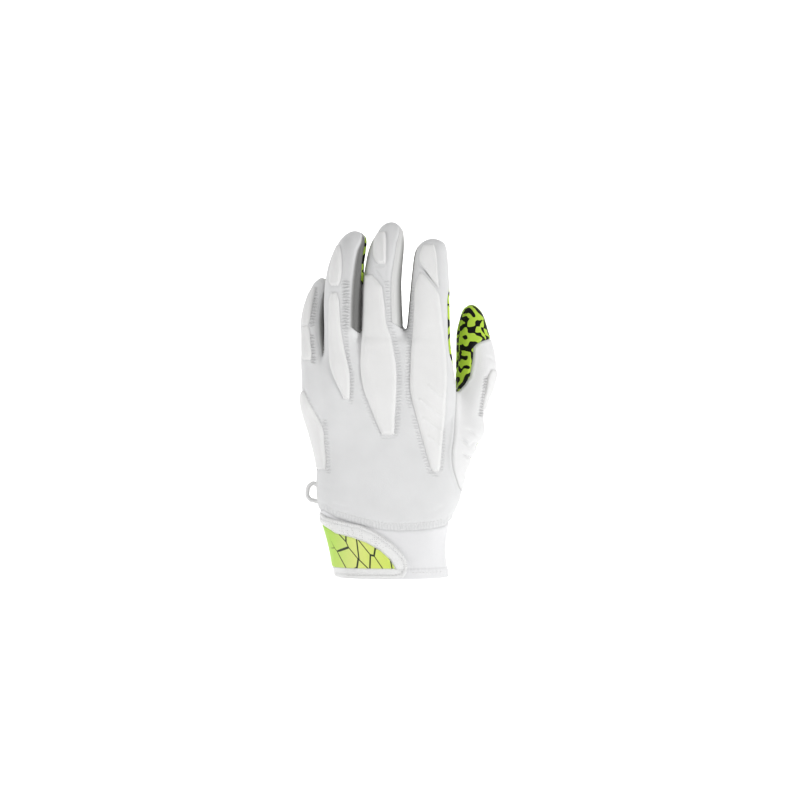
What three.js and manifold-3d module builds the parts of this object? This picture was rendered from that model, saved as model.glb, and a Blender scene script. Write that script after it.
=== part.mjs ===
// A padded football receiver glove for the left hand, filled out as worn, in millimetres.
// The origin is the centre of the wrist opening. +Z runs up the fingers, +X towards the thumb, and the
// back of the hand faces -Y.
import * as THREE from 'three';
import Module from 'manifold-3d';

const wasm = await Module();
wasm.setup();

// Driving sizes.
const gloveLength = 228; // wrist opening to the tip of the middle finger
const palmBreadth = 98; // across the knuckles
const palmDepth = 40; // scale of every depth, front to back
const clothThickness = 1.5;
const seamGap = 0.3; // between neighbouring pieces
const padHeight = 3;
const strapThickness = 1.2;
const printThickness = 1.1;
const tabBreadth = 5;

const sides = 14; // points round a finger
const bodySides = 26; // points round the hand
const roundness = 2.3; // exponent of the cross-sections, 2 is an ellipse

// Cross-sections from the wrist up. Columns: height (share of gloveLength), place across and half breadth
// (shares of palmBreadth), place in depth and half depth (shares of palmDepth).
const hand = {
  turn: 0,
  rows: [
    [0.0, 0.0219, 0.3638, 0.05, 0.6],
    [0.0899, -0.0036, 0.376, 0.05, 0.58],
    [0.1377, -0.0122, 0.398, 0.05, 0.57],
    [0.1882, -0.0219, 0.4332, 0.05, 0.56],
    [0.2443, -0.0097, 0.4648, 0.0625, 0.55],
    [0.3285, -0.0026, 0.4719, 0.075, 0.5325],
    [0.4408, -0.0469, 0.4918, 0.0625, 0.475],
    [0.4956, -0.0571, 0.5, 0.05, 0.44],
    [0.5395, -0.0592, 0.4918, 0.0375, 0.405],
    [0.5921, -0.0536, 0.4566, 0.025, 0.35],
    [0.636, 0.0, 0.3673, 0.0125, 0.31],
    [0.6645, 0.0255, 0.2806, 0.0075, 0.25],
    [0.682, 0.0204, 0.2245, 0.0075, 0.15],
  ],
};

// The fingers' own cross-sections, in the same columns. turn is each finger's turn about its length, in
// degrees.
const little = {
  turn: -18,
  rows: [
    [0.4737, -0.4592, 0.0969, 0.025, 0.25],
    [0.614, -0.4816, 0.0918, 0.1, 0.235],
    [0.6798, -0.4939, 0.0816, 0.1625, 0.22],
    [0.7776, -0.4796, 0.0704, 0.275, 0.195],
    [0.807, -0.4592, 0.0622, 0.32, 0.1725],
    [0.8272, -0.4449, 0.0469, 0.35, 0.13],
    [0.8395, -0.4388, 0.0245, 0.37, 0.07],
  ],
};
const ring = {
  turn: -22,
  rows: [
    [0.4605, -0.2959, 0.1071, 0.0125, 0.2875],
    [0.6009, -0.3061, 0.1153, 0.0, 0.29],
    [0.693, -0.3061, 0.1153, 0.015, 0.285],
    [0.7851, -0.3041, 0.1163, 0.065, 0.275],
    [0.8333, -0.2949, 0.1153, 0.11, 0.2675],
    [0.8947, -0.2735, 0.1092, 0.19, 0.25],
    [0.9232, -0.2551, 0.1031, 0.24, 0.235],
    [0.9496, -0.2337, 0.0837, 0.29, 0.19],
    [0.9649, -0.2255, 0.0571, 0.32, 0.13],
    [0.9737, -0.2235, 0.0306, 0.3375, 0.07],
  ],
};
const middle = {
  turn: -14,
  rows: [
    [0.4605, -0.0459, 0.1286, 0.0, 0.31],
    [0.614, -0.0449, 0.1357, 0.0, 0.305],
    [0.6886, -0.0439, 0.1357, 0.0075, 0.3],
    [0.7851, -0.048, 0.1296, 0.065, 0.285],
    [0.8333, -0.0439, 0.1255, 0.11, 0.275],
    [0.8772, -0.0327, 0.1204, 0.165, 0.265],
    [0.9167, -0.0184, 0.1143, 0.225, 0.2525],
    [0.9496, -0.0041, 0.102, 0.28, 0.225],
    [0.9746, 0.0102, 0.0816, 0.32, 0.18],
    [0.9904, 0.0153, 0.0551, 0.345, 0.125],
    [0.9987, 0.0163, 0.0286, 0.36, 0.0675],
  ],
};
const index = {
  turn: 6,
  rows: [
    [0.4605, 0.2653, 0.1327, 0.0125, 0.3],
    [0.614, 0.2612, 0.1429, 0.0, 0.3],
    [0.6886, 0.2582, 0.1408, 0.01, 0.2975],
    [0.7368, 0.2622, 0.1347, 0.035, 0.29],
    [0.8333, 0.2704, 0.1224, 0.11, 0.27],
    [0.8728, 0.2735, 0.1153, 0.155, 0.2575],
    [0.9035, 0.2755, 0.1082, 0.195, 0.2425],
    [0.9263, 0.2806, 0.0959, 0.23, 0.215],
    [0.9412, 0.2857, 0.0735, 0.255, 0.165],
    [0.9509, 0.2878, 0.0408, 0.2725, 0.095],
  ],
};
const thumb = {
  turn: 0,
  rows: [
    [0.2193, 0.3061, 0.1429, 0.15, 0.325],
    [0.2719, 0.3265, 0.1582, 0.2, 0.375],
    [0.3596, 0.3929, 0.1867, 0.275, 0.41],
    [0.4035, 0.4388, 0.1878, 0.325, 0.4],
    [0.4518, 0.4796, 0.1449, 0.375, 0.36],
    [0.4912, 0.5245, 0.1204, 0.425, 0.325],
    [0.5307, 0.5602, 0.1224, 0.475, 0.3125],
    [0.5658, 0.5714, 0.1327, 0.5125, 0.3125],
    [0.6535, 0.5653, 0.1214, 0.575, 0.2875],
    [0.6886, 0.5531, 0.1061, 0.6, 0.2575],
    [0.7237, 0.551, 0.0857, 0.625, 0.21],
    [0.7482, 0.548, 0.0633, 0.64, 0.155],
    [0.764, 0.5459, 0.0347, 0.65, 0.085],
  ],
};
const fingers = [little, ring, middle, index];
const tubes = [hand, ...fingers, thumb];

// One row of a table as sizes in millimetres.
function sized([height, across, halfBreadth, setBack, halfDepth]) {
  return {
    z: height * gloveLength,
    x: across * palmBreadth,
    a: halfBreadth * palmBreadth,
    y: setBack * palmDepth,
    b: halfDepth * palmDepth,
  };
}

// The cross-section of a tube at height z, between its rows.
function sectionAt(tube, z) {
  const rows = tube.rows.map(sized);
  if (z <= rows[0].z) return { ...rows[0], z };
  for (let i = 1; i < rows.length; i++) {
    if (z > rows[i].z) continue;
    const t = (z - rows[i - 1].z) / (rows[i].z - rows[i - 1].z);
    const at = { z };
    for (const key of ['x', 'a', 'y', 'b']) at[key] = rows[i - 1][key] * (1 - t) + rows[i][key] * t;
    return at;
  }
  return { ...rows[rows.length - 1], z };
}

// A closed solid from flat data: corner points and triangles.
function solid(points, triangles) {
  const mesh = new wasm.Mesh({
    numProp: 3,
    vertProperties: new Float32Array(points.flat()),
    triVerts: new Uint32Array(triangles.flat()),
  });
  return new wasm.Manifold(mesh);
}

// Triangles that fill a flat outline, each turned the way the outline turns.
function fill(flat) {
  const turns = THREE.ShapeUtils.area(flat);
  return THREE.ShapeUtils.triangulateShape(flat, []).map(([i, j, m]) =>
    THREE.ShapeUtils.area([flat[i], flat[j], flat[m]]) * turns > 0 ? [i, j, m] : [i, m, j],
  );
}

// A solid through closed outlines at rising heights, each outline an anticlockwise list of [x, y].
function loft(outlines, heights) {
  const n = outlines[0].length;
  const points = [];
  const triangles = [];
  outlines.forEach((outline, k) => outline.forEach(([x, y]) => points.push([x, y, heights[k]])));
  for (let k = 0; k + 1 < outlines.length; k++) {
    for (let i = 0; i < n; i++) {
      const j = (i + 1) % n;
      const [p, q, r, s] = [k * n + i, k * n + j, (k + 1) * n + j, (k + 1) * n + i];
      triangles.push([p, q, r], [p, r, s]);
    }
  }
  for (const [k, up] of [[0, false], [outlines.length - 1, true]]) {
    const contour = outlines[k].map(([x, y]) => new THREE.Vector2(x, y));
    for (const [i, j, m] of fill(contour)) {
      const [p, q, r] = [k * n + i, k * n + j, k * n + m];
      triangles.push(up ? [p, q, r] : [p, r, q]);
    }
  }
  return solid(points, triangles);
}

// A block whose outline is a list of [x, z] as shares of palmBreadth and gloveLength, from y0 to y1.
function block(outline, y0, y1, grow = 0) {
  let flat = outline.map(([x, z]) => new THREE.Vector2(x * palmBreadth, z * gloveLength));
  if (THREE.ShapeUtils.area(flat) > 0) flat.reverse();
  if (grow) {
    flat = flat.map((p, i) => {
      const [before, after] = [flat[(i + flat.length - 1) % flat.length], flat[(i + 1) % flat.length]];
      const into = p.clone().sub(before).normalize();
      const away = after.clone().sub(p).normalize();
      const mitre = grow / (1 + into.dot(away));
      return new THREE.Vector2(p.x - (into.y + away.y) * mitre, p.y + (into.x + away.x) * mitre);
    });
  }
  const n = flat.length;
  const points = [y0, y1].flatMap((y) => flat.map((p) => [p.x, y, p.y]));
  const triangles = [];
  for (let i = 0; i < n; i++) {
    const j = (i + 1) % n;
    triangles.push([i, n + j, j], [i, n + i, n + j]);
  }
  for (const [i, j, m] of fill(flat)) {
    triangles.push([i, j, m], [n + i, n + m, n + j]);
  }
  const made = solid(points, triangles);
  if (made.volume() > 0) return made;
  return solid(points, triangles.map(([p, q, r]) => [p, r, q]));
}

// Points round a cross-section made larger by grow, turned by turn degrees.
function outlineOf(at, turn, count, grow) {
  const angle = (turn * Math.PI) / 180;
  const list = [];
  for (let i = 0; i < count; i++) {
    const t = (2 * Math.PI * (i + 0.5)) / count;
    const u = (at.a + grow) * Math.sign(Math.cos(t)) * Math.abs(Math.cos(t)) ** (2 / roundness);
    const v = (at.b + grow) * Math.sign(Math.sin(t)) * Math.abs(Math.sin(t)) ** (2 / roundness);
    const x = at.x + u * Math.cos(angle) - v * Math.sin(angle);
    const y = at.y + u * Math.sin(angle) + v * Math.cos(angle);
    list.push([x, y]);
  }
  return list;
}

// A whole tube made larger by grow, or smaller where grow is negative. Its ends move by grow too. The hollow
// inside has fewer points round it, and a finger's hollow takes every second row.
function tubeSolid(tube, grow) {
  const outer = grow > -seamGap;
  const count = Math.round((tube === hand ? bodySides : sides) * (outer ? 1 : 0.75));
  const every = outer || tube === hand || tube === thumb ? 1 : 2;
  const rows = tube.rows.map(sized).filter((row, i, list) => i % every === 0 || i === list.length - 1);
  const top = rows[rows.length - 1].z + grow;
  const bottom = tube === hand ? rows[0].z - Math.abs(grow) - 1 : rows[0].z - grow;
  const kept = rows.filter((row) => row.z > bottom + 0.5 && row.z < top - 1);
  const all = [sectionAt(tube, bottom), ...kept, { ...sectionAt(tube, rows[rows.length - 1].z), z: top }];
  const smallest = 0.6;
  const fitted = all.map((row) => ({
    ...row,
    a: Math.max(row.a, smallest - grow),
    b: Math.max(row.b, smallest - grow),
  }));
  return loft(fitted.map((row) => outlineOf(row, tube.turn, count, grow)), fitted.map((row) => row.z));
}

// All tubes joined, made larger by grow.
function gloveSolid(grow) {
  return tubes.map((tube) => tubeSolid(tube, grow)).reduce((all, next) => all.add(next));
}

// The largest separate body of a solid.
function largest(made) {
  const bodies = made.decompose();
  return bodies.reduce((best, next) => (next.volume() > best.volume() ? next : best));
}

const half = seamGap / 2;
const wide = 1.2 * palmBreadth;
const aboveWrist = block([[-1.2, 0], [1.2, 0], [1.2, 1.2], [-1.2, 1.2]], -wide, wide);
const shell = gloveSolid(0).subtract(gloveSolid(-clothThickness)).intersect(aboveWrist);

// The seam that runs up both edges of the hand and the fingers, as [x, y] at height z, shifted by shift.
const seamSetBack = 0.03; // share of palmDepth behind the finger centres
function seamLine(z, shift) {
  const at = [...fingers, thumb].map((tube) => sectionAt(tube, z));
  const seam = at.map((row) => [row.x, row.y + seamSetBack * palmDepth + shift]);
  seam[4][0] = Math.max(seam[4][0], seam[3][0] + 0.09 * palmBreadth);
  return [[-wide, seam[0][1]], ...seam, [wide, seam[4][1]]];
}
const seamHeights = [-0.02, 0.26, 0.4, 0.52, 0.62, 0.7, 0.8, 0.88, 0.95, 1.05];
const seamLevels = seamHeights.map((share) => share * gloveLength);
function backSide(shift) {
  const outlines = seamLevels.map((z) => [[-wide, -wide], [wide, -wide], ...seamLine(z, shift).reverse()]);
  return loft(outlines, seamLevels);
}

// The side walls between two fingers: a strip up the facing side of each finger and a web across the crotch.
// Columns: height (share of the way from the crotch to the fingertip), half breadth (share of half depth).
const wallRows = [
  [-0.12, 0.62],
  [0.5, 0.53],
  [0.85, 0.36],
  [0.95, 0.12],
];
const crotches = [0.587, 0.672, 0.694]; // heights of the crotches, shares of gloveLength
function wallZone(k, grow) {
  const crotch = crotches[k] * gloveLength;
  let zone = null;
  for (const [tube, side] of [[fingers[k], 1], [fingers[k + 1], -1]]) {
    const top = tube.rows[tube.rows.length - 1][0] * gloveLength;
    const angle = (tube.turn * Math.PI) / 180;
    const heights = [];
    const outlines = wallRows.map(([along, breadth], i) => {
      const last = i === wallRows.length - 1 ? grow : 0;
      const z = crotch + along * (top - crotch) + last;
      heights.push(z);
      const at = sectionAt(tube, z);
      const v = breadth * at.b + grow;
      const reach = at.a + 1.2;
      const [from, to] = side > 0 ? [0, reach] : [-reach, 0];
      return [[from, -v], [to, -v], [to, v], [from, v]].map(([p, q]) => [
        at.x + p * Math.cos(angle) - q * Math.sin(angle),
        at.y + p * Math.sin(angle) + q * Math.cos(angle),
      ]);
    });
    const strip = loft(outlines, heights);
    zone = zone ? zone.add(strip) : strip;
  }
  const [low, high] = [fingers[k], fingers[k + 1]].map((tube) => sectionAt(tube, crotch));
  const v = wallRows[0][1] * Math.min(low.b, high.b) + grow;
  const web = [[low.x, low.y - v], [high.x, high.y - v], [high.x, high.y + v], [low.x, low.y + v]];
  const [under, over] = [crotch - 0.05 * gloveLength - grow, crotch + 0.015 * gloveLength + grow];
  return zone.add(loft([web, web], [under, over]));
}

// Seams seen from the back of the hand, as [x, z] shares of palmBreadth and gloveLength.
const cuffSeam = [
  [-1.2, 0.19], [-0.42, 0.19], [-0.34, 0.168], [-0.25, 0.157], [-0.15, 0.147], [-0.03, 0.137],
  [0.1, 0.134], [0.2, 0.134], [0.3, 0.139], [0.4, 0.152], [1.2, 0.16],
];
const thumbSeam = [
  [0.477, 0.241], [0.444, 0.255], [0.418, 0.306], [0.411, 0.357], [0.431, 0.441], [0.444, 0.497],
  [0.444, 0.512],
];
const wrapSeam = [
  [0.458, 0.524], [0.496, 0.537], [0.529, 0.561], [0.542, 0.593], [0.555, 0.624], [0.555, 0.654],
  [0.6, 0.664], [0.64, 0.674], [0.9, 0.68],
];
const palmWrapSeam = [[0.2, 0.52], [0.3, 0.475], [0.4, 0.43], [0.5, 0.395], [0.64, 0.37], [1.2, 0.36]];

const cuffZone = block([...cuffSeam, [1.2, -0.1], [-1.2, -0.1]], -wide, wide, -half);
const aboveCuff = block([...cuffSeam, [1.2, 1.2], [-1.2, 1.2]], -wide, wide, -half);
const panelOutline = [...thumbSeam, ...wrapSeam, [0.9, 0.1], [0.52, 0.1]];
const wrapOutline = [...palmWrapSeam, [1.2, 1.2], [0.2, 1.2]];
const [thumbRoom, thumbRoomWide] = [0, seamGap].map((grow) =>
  tubeSolid(thumb, 0.8 + grow).intersect(block(wrapOutline, -wide, wide, grow)),
);

const upper = shell.intersect(aboveCuff);
const backUpper = upper.intersect(backSide(-half));
const palmUpper = upper.subtract(backSide(half));
const wallRoom = crotches.map((_, k) => wallZone(k, half)).reduce((all, next) => all.add(next));
const fingerWalls = crotches.map((_, k) => largest(upper.intersect(wallZone(k, -half))));
const thumbSideOutline = [...thumbSeam, [0.444, 1.2], [1.2, 1.2], [1.2, 0.1], [0.52, 0.1]];
const thumbSide = block(thumbSideOutline, -wide, wide, half);

const backPanel = largest(backUpper.subtract(thumbSide).subtract(wallRoom));
const palmPanel = largest(palmUpper.subtract(thumbRoomWide).subtract(wallRoom));
const thumbPanel = largest(backUpper.intersect(block(panelOutline, -wide, wide, -half)));
const wrapCut = backSide(half).intersect(block(panelOutline, -wide, wide, half * 1.4));
const beyondOutline = [
  [-1.2, 0], [0.43, 0], [0.436, 0.441], [0.442, 0.497], [0.442, 0.52], [0.2, 0.52], [-1.2, 0.52],
];
const beyondBack = backSide(half).intersect(block(beyondOutline, -wide, wide, half));
const thumbWrap = largest(upper.intersect(thumbRoom).subtract(wrapCut).subtract(beyondBack));
const cuffBand = largest(shell.intersect(cuffZone));

// The front face of the glove (least y) at x and z, from the tubes' own formula.
function frontFace(x, z) {
  let front = Infinity;
  for (const tube of tubes) {
    const rows = tube.rows.map(sized);
    if (z < rows[0].z - 1 || z > rows[rows.length - 1].z) continue;
    const at = sectionAt(tube, z);
    const angle = (tube.turn * Math.PI) / 180;
    const inside = (y) => {
      const u = (x - at.x) * Math.cos(angle) + (y - at.y) * Math.sin(angle);
      const v = -(x - at.x) * Math.sin(angle) + (y - at.y) * Math.cos(angle);
      return Math.abs(u / at.a) ** roundness + Math.abs(v / at.b) ** roundness < 1;
    };
    for (let y = at.y - 1.2 * Math.max(at.a, at.b); y < at.y + at.b * 0.5; y += 0.25) {
      if (!inside(y)) continue;
      front = Math.min(front, y - 0.12);
      break;
    }
  }
  return front;
}

// The same at the nearest place across where there is a front face.
function nearestFront(x, z) {
  for (let step = 0; step < 0.1 * palmBreadth; step += 0.5) {
    const front = Math.min(frontFace(x + step, z), frontFace(x - step, z));
    if (Number.isFinite(front)) return front;
  }
  return 0;
}

const outside = gloveSolid(seamGap);

// Rows of a table with one more row half way between each two.
function halved(rows) {
  const list = [rows[0]];
  for (let i = 1; i < rows.length; i++) {
    list.push(rows[i].map((value, c) => (value + rows[i - 1][c]) / 2), rows[i]);
  }
  return list;
}

// A slab between a top grid and a bottom grid of n rows of points, each across points wide, less the glove.
function slab(top, bottom, n, across) {
  const count = top.length;
  const triangles = [];
  for (let i = 0; i + 1 < n; i++) {
    for (let j = 0; j + 1 < across; j++) {
      const p = i * across + j;
      const [q, r, s] = [p + 1, p + across + 1, p + across];
      triangles.push([p, q, r], [p, r, s]);
      triangles.push([count + p, count + r, count + q], [count + p, count + s, count + r]);
    }
  }
  const rim = [];
  for (let j = 0; j + 1 < across; j++) rim.push(j);
  for (let i = 0; i + 1 < n; i++) rim.push(i * across + across - 1);
  for (let j = across - 1; j > 0; j--) rim.push((n - 1) * across + j);
  for (let i = n - 1; i > 0; i--) rim.push(i * across);
  rim.forEach((p, k) => {
    const q = rim[(k + 1) % rim.length];
    triangles.push([p, count + q, q], [p, count + p, count + q]);
  });
  return largest(solid([...top, ...bottom], triangles).subtract(outside));
}

// A crowned pad on the back of the glove. Each row is [height, left, right] in shares of gloveLength and
// palmBreadth. columns is the number of steps across, and ribs the number of raised ribs along it.
function pad(rows, columns, ribs = 0) {
  const stations = halved(rows);
  const last = stations.length - 1;
  const top = stations.flatMap(([height, left, right], i) => {
    const end = Math.min(1, (4.5 * Math.min(i, last - i)) / last + 0.001);
    const rib = ribs ? 0.82 + 0.18 * Math.cos((2 * Math.PI * ribs * i) / last) : 1;
    const z = height * gloveLength;
    const list = [];
    for (let j = 0; j <= columns; j++) {
      const share = j / columns;
      const x = (left + (right - left) * share) * palmBreadth;
      const side = Math.sin(Math.PI * Math.min(Math.max(share, 0.001), 0.999)) ** 0.5;
      const rise = padHeight * (0.3 + 0.7 * Math.sin((Math.PI / 2) * end) * side) * rib;
      list.push([x, nearestFront(x, z) - seamGap - rise, z]);
    }
    return list;
  });
  const bottom = top.map(([x, y, z]) => [x, y + 3 * padHeight, z]);
  return slab(top, bottom, stations.length, columns + 1);
}

// Pad outlines. Columns: height, left edge, right edge, as shares of gloveLength and palmBreadth.
const padRows = {
  pad_index_tip: [[0.845, 0.2, 0.3], [0.87, 0.155, 0.32], [0.9, 0.17, 0.32], [0.93, 0.21, 0.3]],
  pad_index_long: [
    [0.3, 0.295, 0.328], [0.36, 0.24, 0.345], [0.45, 0.17, 0.366], [0.53, 0.14, 0.375],
    [0.64, 0.145, 0.37], [0.72, 0.175, 0.35], [0.8, 0.19, 0.33], [0.825, 0.22, 0.31],
  ],
  pad_middle_tip: [
    [0.86, -0.09, -0.02], [0.885, -0.108, -0.016], [0.93, -0.095, -0.02], [0.965, -0.07, -0.025],
  ],
  pad_middle_long: [
    [0.402, -0.04, 0.02], [0.46, -0.11, 0.038], [0.53, -0.15, 0.046], [0.6, -0.155, 0.04],
    [0.7, -0.155, -0.01], [0.78, -0.15, -0.035], [0.83, -0.125, -0.045],
  ],
  pad_ring_tip: [[0.815, -0.375, -0.315], [0.84, -0.39, -0.31], [0.89, -0.375, -0.31], [0.93, -0.34, -0.31]],
  pad_ring_long: [
    [0.503, -0.285, -0.258], [0.55, -0.345, -0.256], [0.62, -0.385, -0.3], [0.72, -0.385, -0.312],
    [0.79, -0.38, -0.325],
  ],
  pad_little: [
    [0.6, -0.545, -0.492], [0.68, -0.555, -0.505], [0.735, -0.55, -0.508], [0.77, -0.535, -0.49],
    [0.812, -0.49, -0.465],
  ],
};
const padColumns = 5;

// A patch of the hand's left edge or the thumb's right edge, raised as a low pad.
function edgePad(tube, rows, columns, height) {
  const stations = halved(rows);
  const [top, bottom] = [false, true].map((inner) =>
    stations.flatMap(([share, first, last], i) => {
      const at = sectionAt(tube, share * gloveLength);
      const list = [];
      for (let j = 0; j <= columns; j++) {
        const t = ((first + ((last - first) * j) / columns) * Math.PI) / 180;
        const end = Math.min(i, stations.length - 1 - i, j, columns - j) > 0 ? 1 : 0.35;
        const grow = inner ? -2 : seamGap + height * end;
        const u = (at.a + grow) * Math.sign(Math.cos(t)) * Math.abs(Math.cos(t)) ** (2 / roundness);
        const v = (at.b + grow) * Math.sign(Math.sin(t)) * Math.abs(Math.sin(t)) ** (2 / roundness);
        list.push([at.x + u, at.y + v, share * gloveLength]);
      }
      return list;
    }),
  );
  return slab(top, bottom, stations.length, columns + 1);
}

// Edge pads. Columns: height (share of gloveLength), first and last angle in degrees round the cross-section
// from +X towards +Y.
const handPadAngles = [[0.31, 178, 236], [0.4, 172, 226], [0.5, 166, 205]];
const thumbPadAngles = [[0.46, 268, 330], [0.52, 272, 338], [0.58, 282, 344]];
const edgePadShare = 0.55; // height of the edge pads, share of padHeight

// The wrist strap: a sleeve round the cuff from the palm side over the left edge, cut to its outline.
const strapOutline = [
  [-1.2, 0.182], [-0.44, 0.182], [-0.36, 0.168], [-0.29, 0.157], [-0.19, 0.15], [-0.09, 0.133],
  [0.0, 0.104], [0.075, 0.078], [0.112, 0.052], [0.114, 0.03], [0.1, 0.006], [-1.2, 0.006],
];
const strapPalmOutline = [[-1.2, 0.182], [0.16, 0.165], [0.16, 0.012], [-1.2, 0.006]];
const limeOutline = [
  [-0.428, 0.134], [-0.34, 0.118], [-0.22, 0.106], [-0.13, 0.092], [-0.05, 0.073], [0.0, 0.054],
  [0.03, 0.032], [-0.38, 0.032], [-0.4, 0.08],
];
const bindingOutline = [
  [-0.4, 0.035], [-0.415, 0.134], [-0.43, 0.2], [0.3, 0.2], [0.3, 0.01], [0.02, 0.01], [0.02, 0.035],
];
function sleeve(inner, outer) {
  const [inside, skin] = [inner, outer].map((grow) => {
    const rows = hand.rows.slice(0, 5).map(sized);
    return loft(rows.map((row) => outlineOf(row, 0, bodySides, grow)), rows.map((row) => row.z));
  });
  return skin.subtract(inside);
}
const strapLift = seamGap + 0.35;
const strapSleeve = sleeve(strapLift, strapLift + strapThickness);
const frontCut = block(strapOutline, -wide, palmDepth * 0.05);
const palmCut = block(strapPalmOutline, palmDepth * 0.05 - 1, wide);
const strapBase = largest(strapSleeve.intersect(frontCut.add(palmCut)));
const printLift = strapLift + strapThickness + seamGap;
const printSleeve = sleeve(printLift, printLift + printThickness);
const strapPrint = largest(printSleeve.intersect(block(limeOutline, -wide, 0, -half)));
const strapBinding = largest(
  printSleeve
    .intersect(block(strapOutline, -wide, 0))
    .subtract(block(limeOutline, -wide, 1, half * 1.4))
    .intersect(block(bindingOutline, -wide, 1)),
);

// The pull tab: a folded loop of webbing at the left edge.
const tabFoot = sectionAt(hand, 0.237 * gloveLength);
const tabRoot = tabFoot.x - tabFoot.a - seamGap - 0.5;
const tabLoop = [
  [0, -5.5], [-3, -5.4], [-5.6, -4.6], [-6.9, -2.2], [-6.9, 2.2], [-5.6, 4.6], [-3, 5.4], [0, 5.5],
];
const tabHole = [
  [-1, -4.4], [-3, -4.3], [-4.9, -3.8], [-5.8, -2], [-5.8, 2], [-4.9, 3.8], [-3, 4.3], [-1, 4.4],
];
const [tabOuter, tabInner] = [tabLoop, tabHole].map((loop) =>
  block(
    loop.map(([x, z]) => [(tabRoot + x) / palmBreadth, 0.237 + z / gloveLength]),
    tabFoot.y - tabBreadth / 2,
    tabFoot.y + tabBreadth / 2,
  ),
);
const pullTab = tabOuter.subtract(tabInner);

// Colours of the cloths.
const white = [0xf1f1ee, 0.85];
const grey = [0xd9dad8, 0.9];
const lime = [0xb4d63c, 0.6];

const pieces = [
  ['back_panel', backPanel, white],
  ['palm_panel', palmPanel, lime],
  ['finger_wall_little_ring', fingerWalls[0], grey],
  ['finger_wall_ring_middle', fingerWalls[1], grey],
  ['finger_wall_middle_index', fingerWalls[2], grey],
  ['thumb_panel', thumbPanel, white],
  ['thumb_wrap', thumbWrap, lime],
  ['cuff_band', cuffBand, white],
  ['strap_base', strapBase, white],
  ['strap_print', strapPrint, lime],
  ['strap_binding', strapBinding, white],
  ['pull_tab', pullTab, white],
  ...Object.entries(padRows).map(([name, rows]) => {
    const ribs = name === 'pad_index_long' ? 6 : 0;
    return [name, pad(rows, padColumns, ribs), white];
  }),
  ['pad_hand_edge', edgePad(hand, handPadAngles, 6, edgePadShare * padHeight), white],
  ['pad_thumb', edgePad(thumb, thumbPadAngles, 6, edgePadShare * padHeight), white],
];

const group = new THREE.Group();
group.name = 'football_receiver_glove';
for (const [name, made, [colour, roughnessValue]] of pieces) {
  const mesh = made.getMesh();
  const geometry = new THREE.BufferGeometry();
  geometry.setAttribute('position', new THREE.BufferAttribute(new Float32Array(mesh.vertProperties), 3));
  geometry.setIndex(new THREE.BufferAttribute(new Uint32Array(mesh.triVerts), 1));
  const material = new THREE.MeshStandardMaterial({ color: colour, roughness: roughnessValue });
  const node = new THREE.Mesh(geometry, material);
  node.name = name;
  group.add(node);
}

export default group;
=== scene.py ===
"""A padded football receiver glove for the left hand, filled out as worn, seen on the back of the hand.

Lengths in the tables are millimetres in the part's own frame: +Z up the fingers, +X towards the thumb, and
the back of the hand faces -Y. Objects are in metres.
"""

import math

import bpy
import numpy as np
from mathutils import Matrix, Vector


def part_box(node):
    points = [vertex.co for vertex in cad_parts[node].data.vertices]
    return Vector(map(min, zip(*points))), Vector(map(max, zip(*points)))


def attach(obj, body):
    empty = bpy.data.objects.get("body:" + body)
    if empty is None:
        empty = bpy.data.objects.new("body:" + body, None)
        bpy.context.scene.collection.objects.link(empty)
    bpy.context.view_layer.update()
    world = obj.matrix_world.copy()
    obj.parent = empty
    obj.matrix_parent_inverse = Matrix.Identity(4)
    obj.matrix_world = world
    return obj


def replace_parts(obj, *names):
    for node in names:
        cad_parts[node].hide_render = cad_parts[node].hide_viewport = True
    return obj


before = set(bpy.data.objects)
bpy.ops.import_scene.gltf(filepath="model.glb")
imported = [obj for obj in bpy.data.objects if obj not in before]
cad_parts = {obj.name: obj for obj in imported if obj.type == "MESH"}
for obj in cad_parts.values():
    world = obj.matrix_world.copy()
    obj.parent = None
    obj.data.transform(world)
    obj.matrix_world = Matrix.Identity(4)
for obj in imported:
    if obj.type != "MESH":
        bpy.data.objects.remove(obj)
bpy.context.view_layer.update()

# Camera: level with the middle of the glove and square to the back of the hand, as a catalogue shows it.
# At the glove the picture is 0.512 m wide, which is 0.64 mm for each of its 800 pixels.
CAMERA_DISTANCE = 1.6
PICTURE_WIDTH = 0.512
camera_data = bpy.data.cameras.new("camera")
camera_data.sensor_width = 36.0
camera_data.lens = camera_data.sensor_width * CAMERA_DISTANCE / PICTURE_WIDTH
camera = bpy.data.objects.new("camera", camera_data)
camera.location = (0.00704, -CAMERA_DISTANCE, 0.1133)
camera.rotation_euler = (math.radians(90), 0, 0)
bpy.context.scene.collection.objects.link(camera)
bpy.context.scene.camera = camera

# Back panel: one smooth white stretch cloth over the back of the hand and the backs of the four fingers.
# It is sewn to the palm panel down the sides, to the walls between the fingers and to the thumb panel. The
# worn form that all of them are cut from comes first: a hand, four fingers and a thumb that flow together.
ROUNDNESS = 2.3
FINGERS = ["little", "ring", "middle", "index"]

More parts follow.
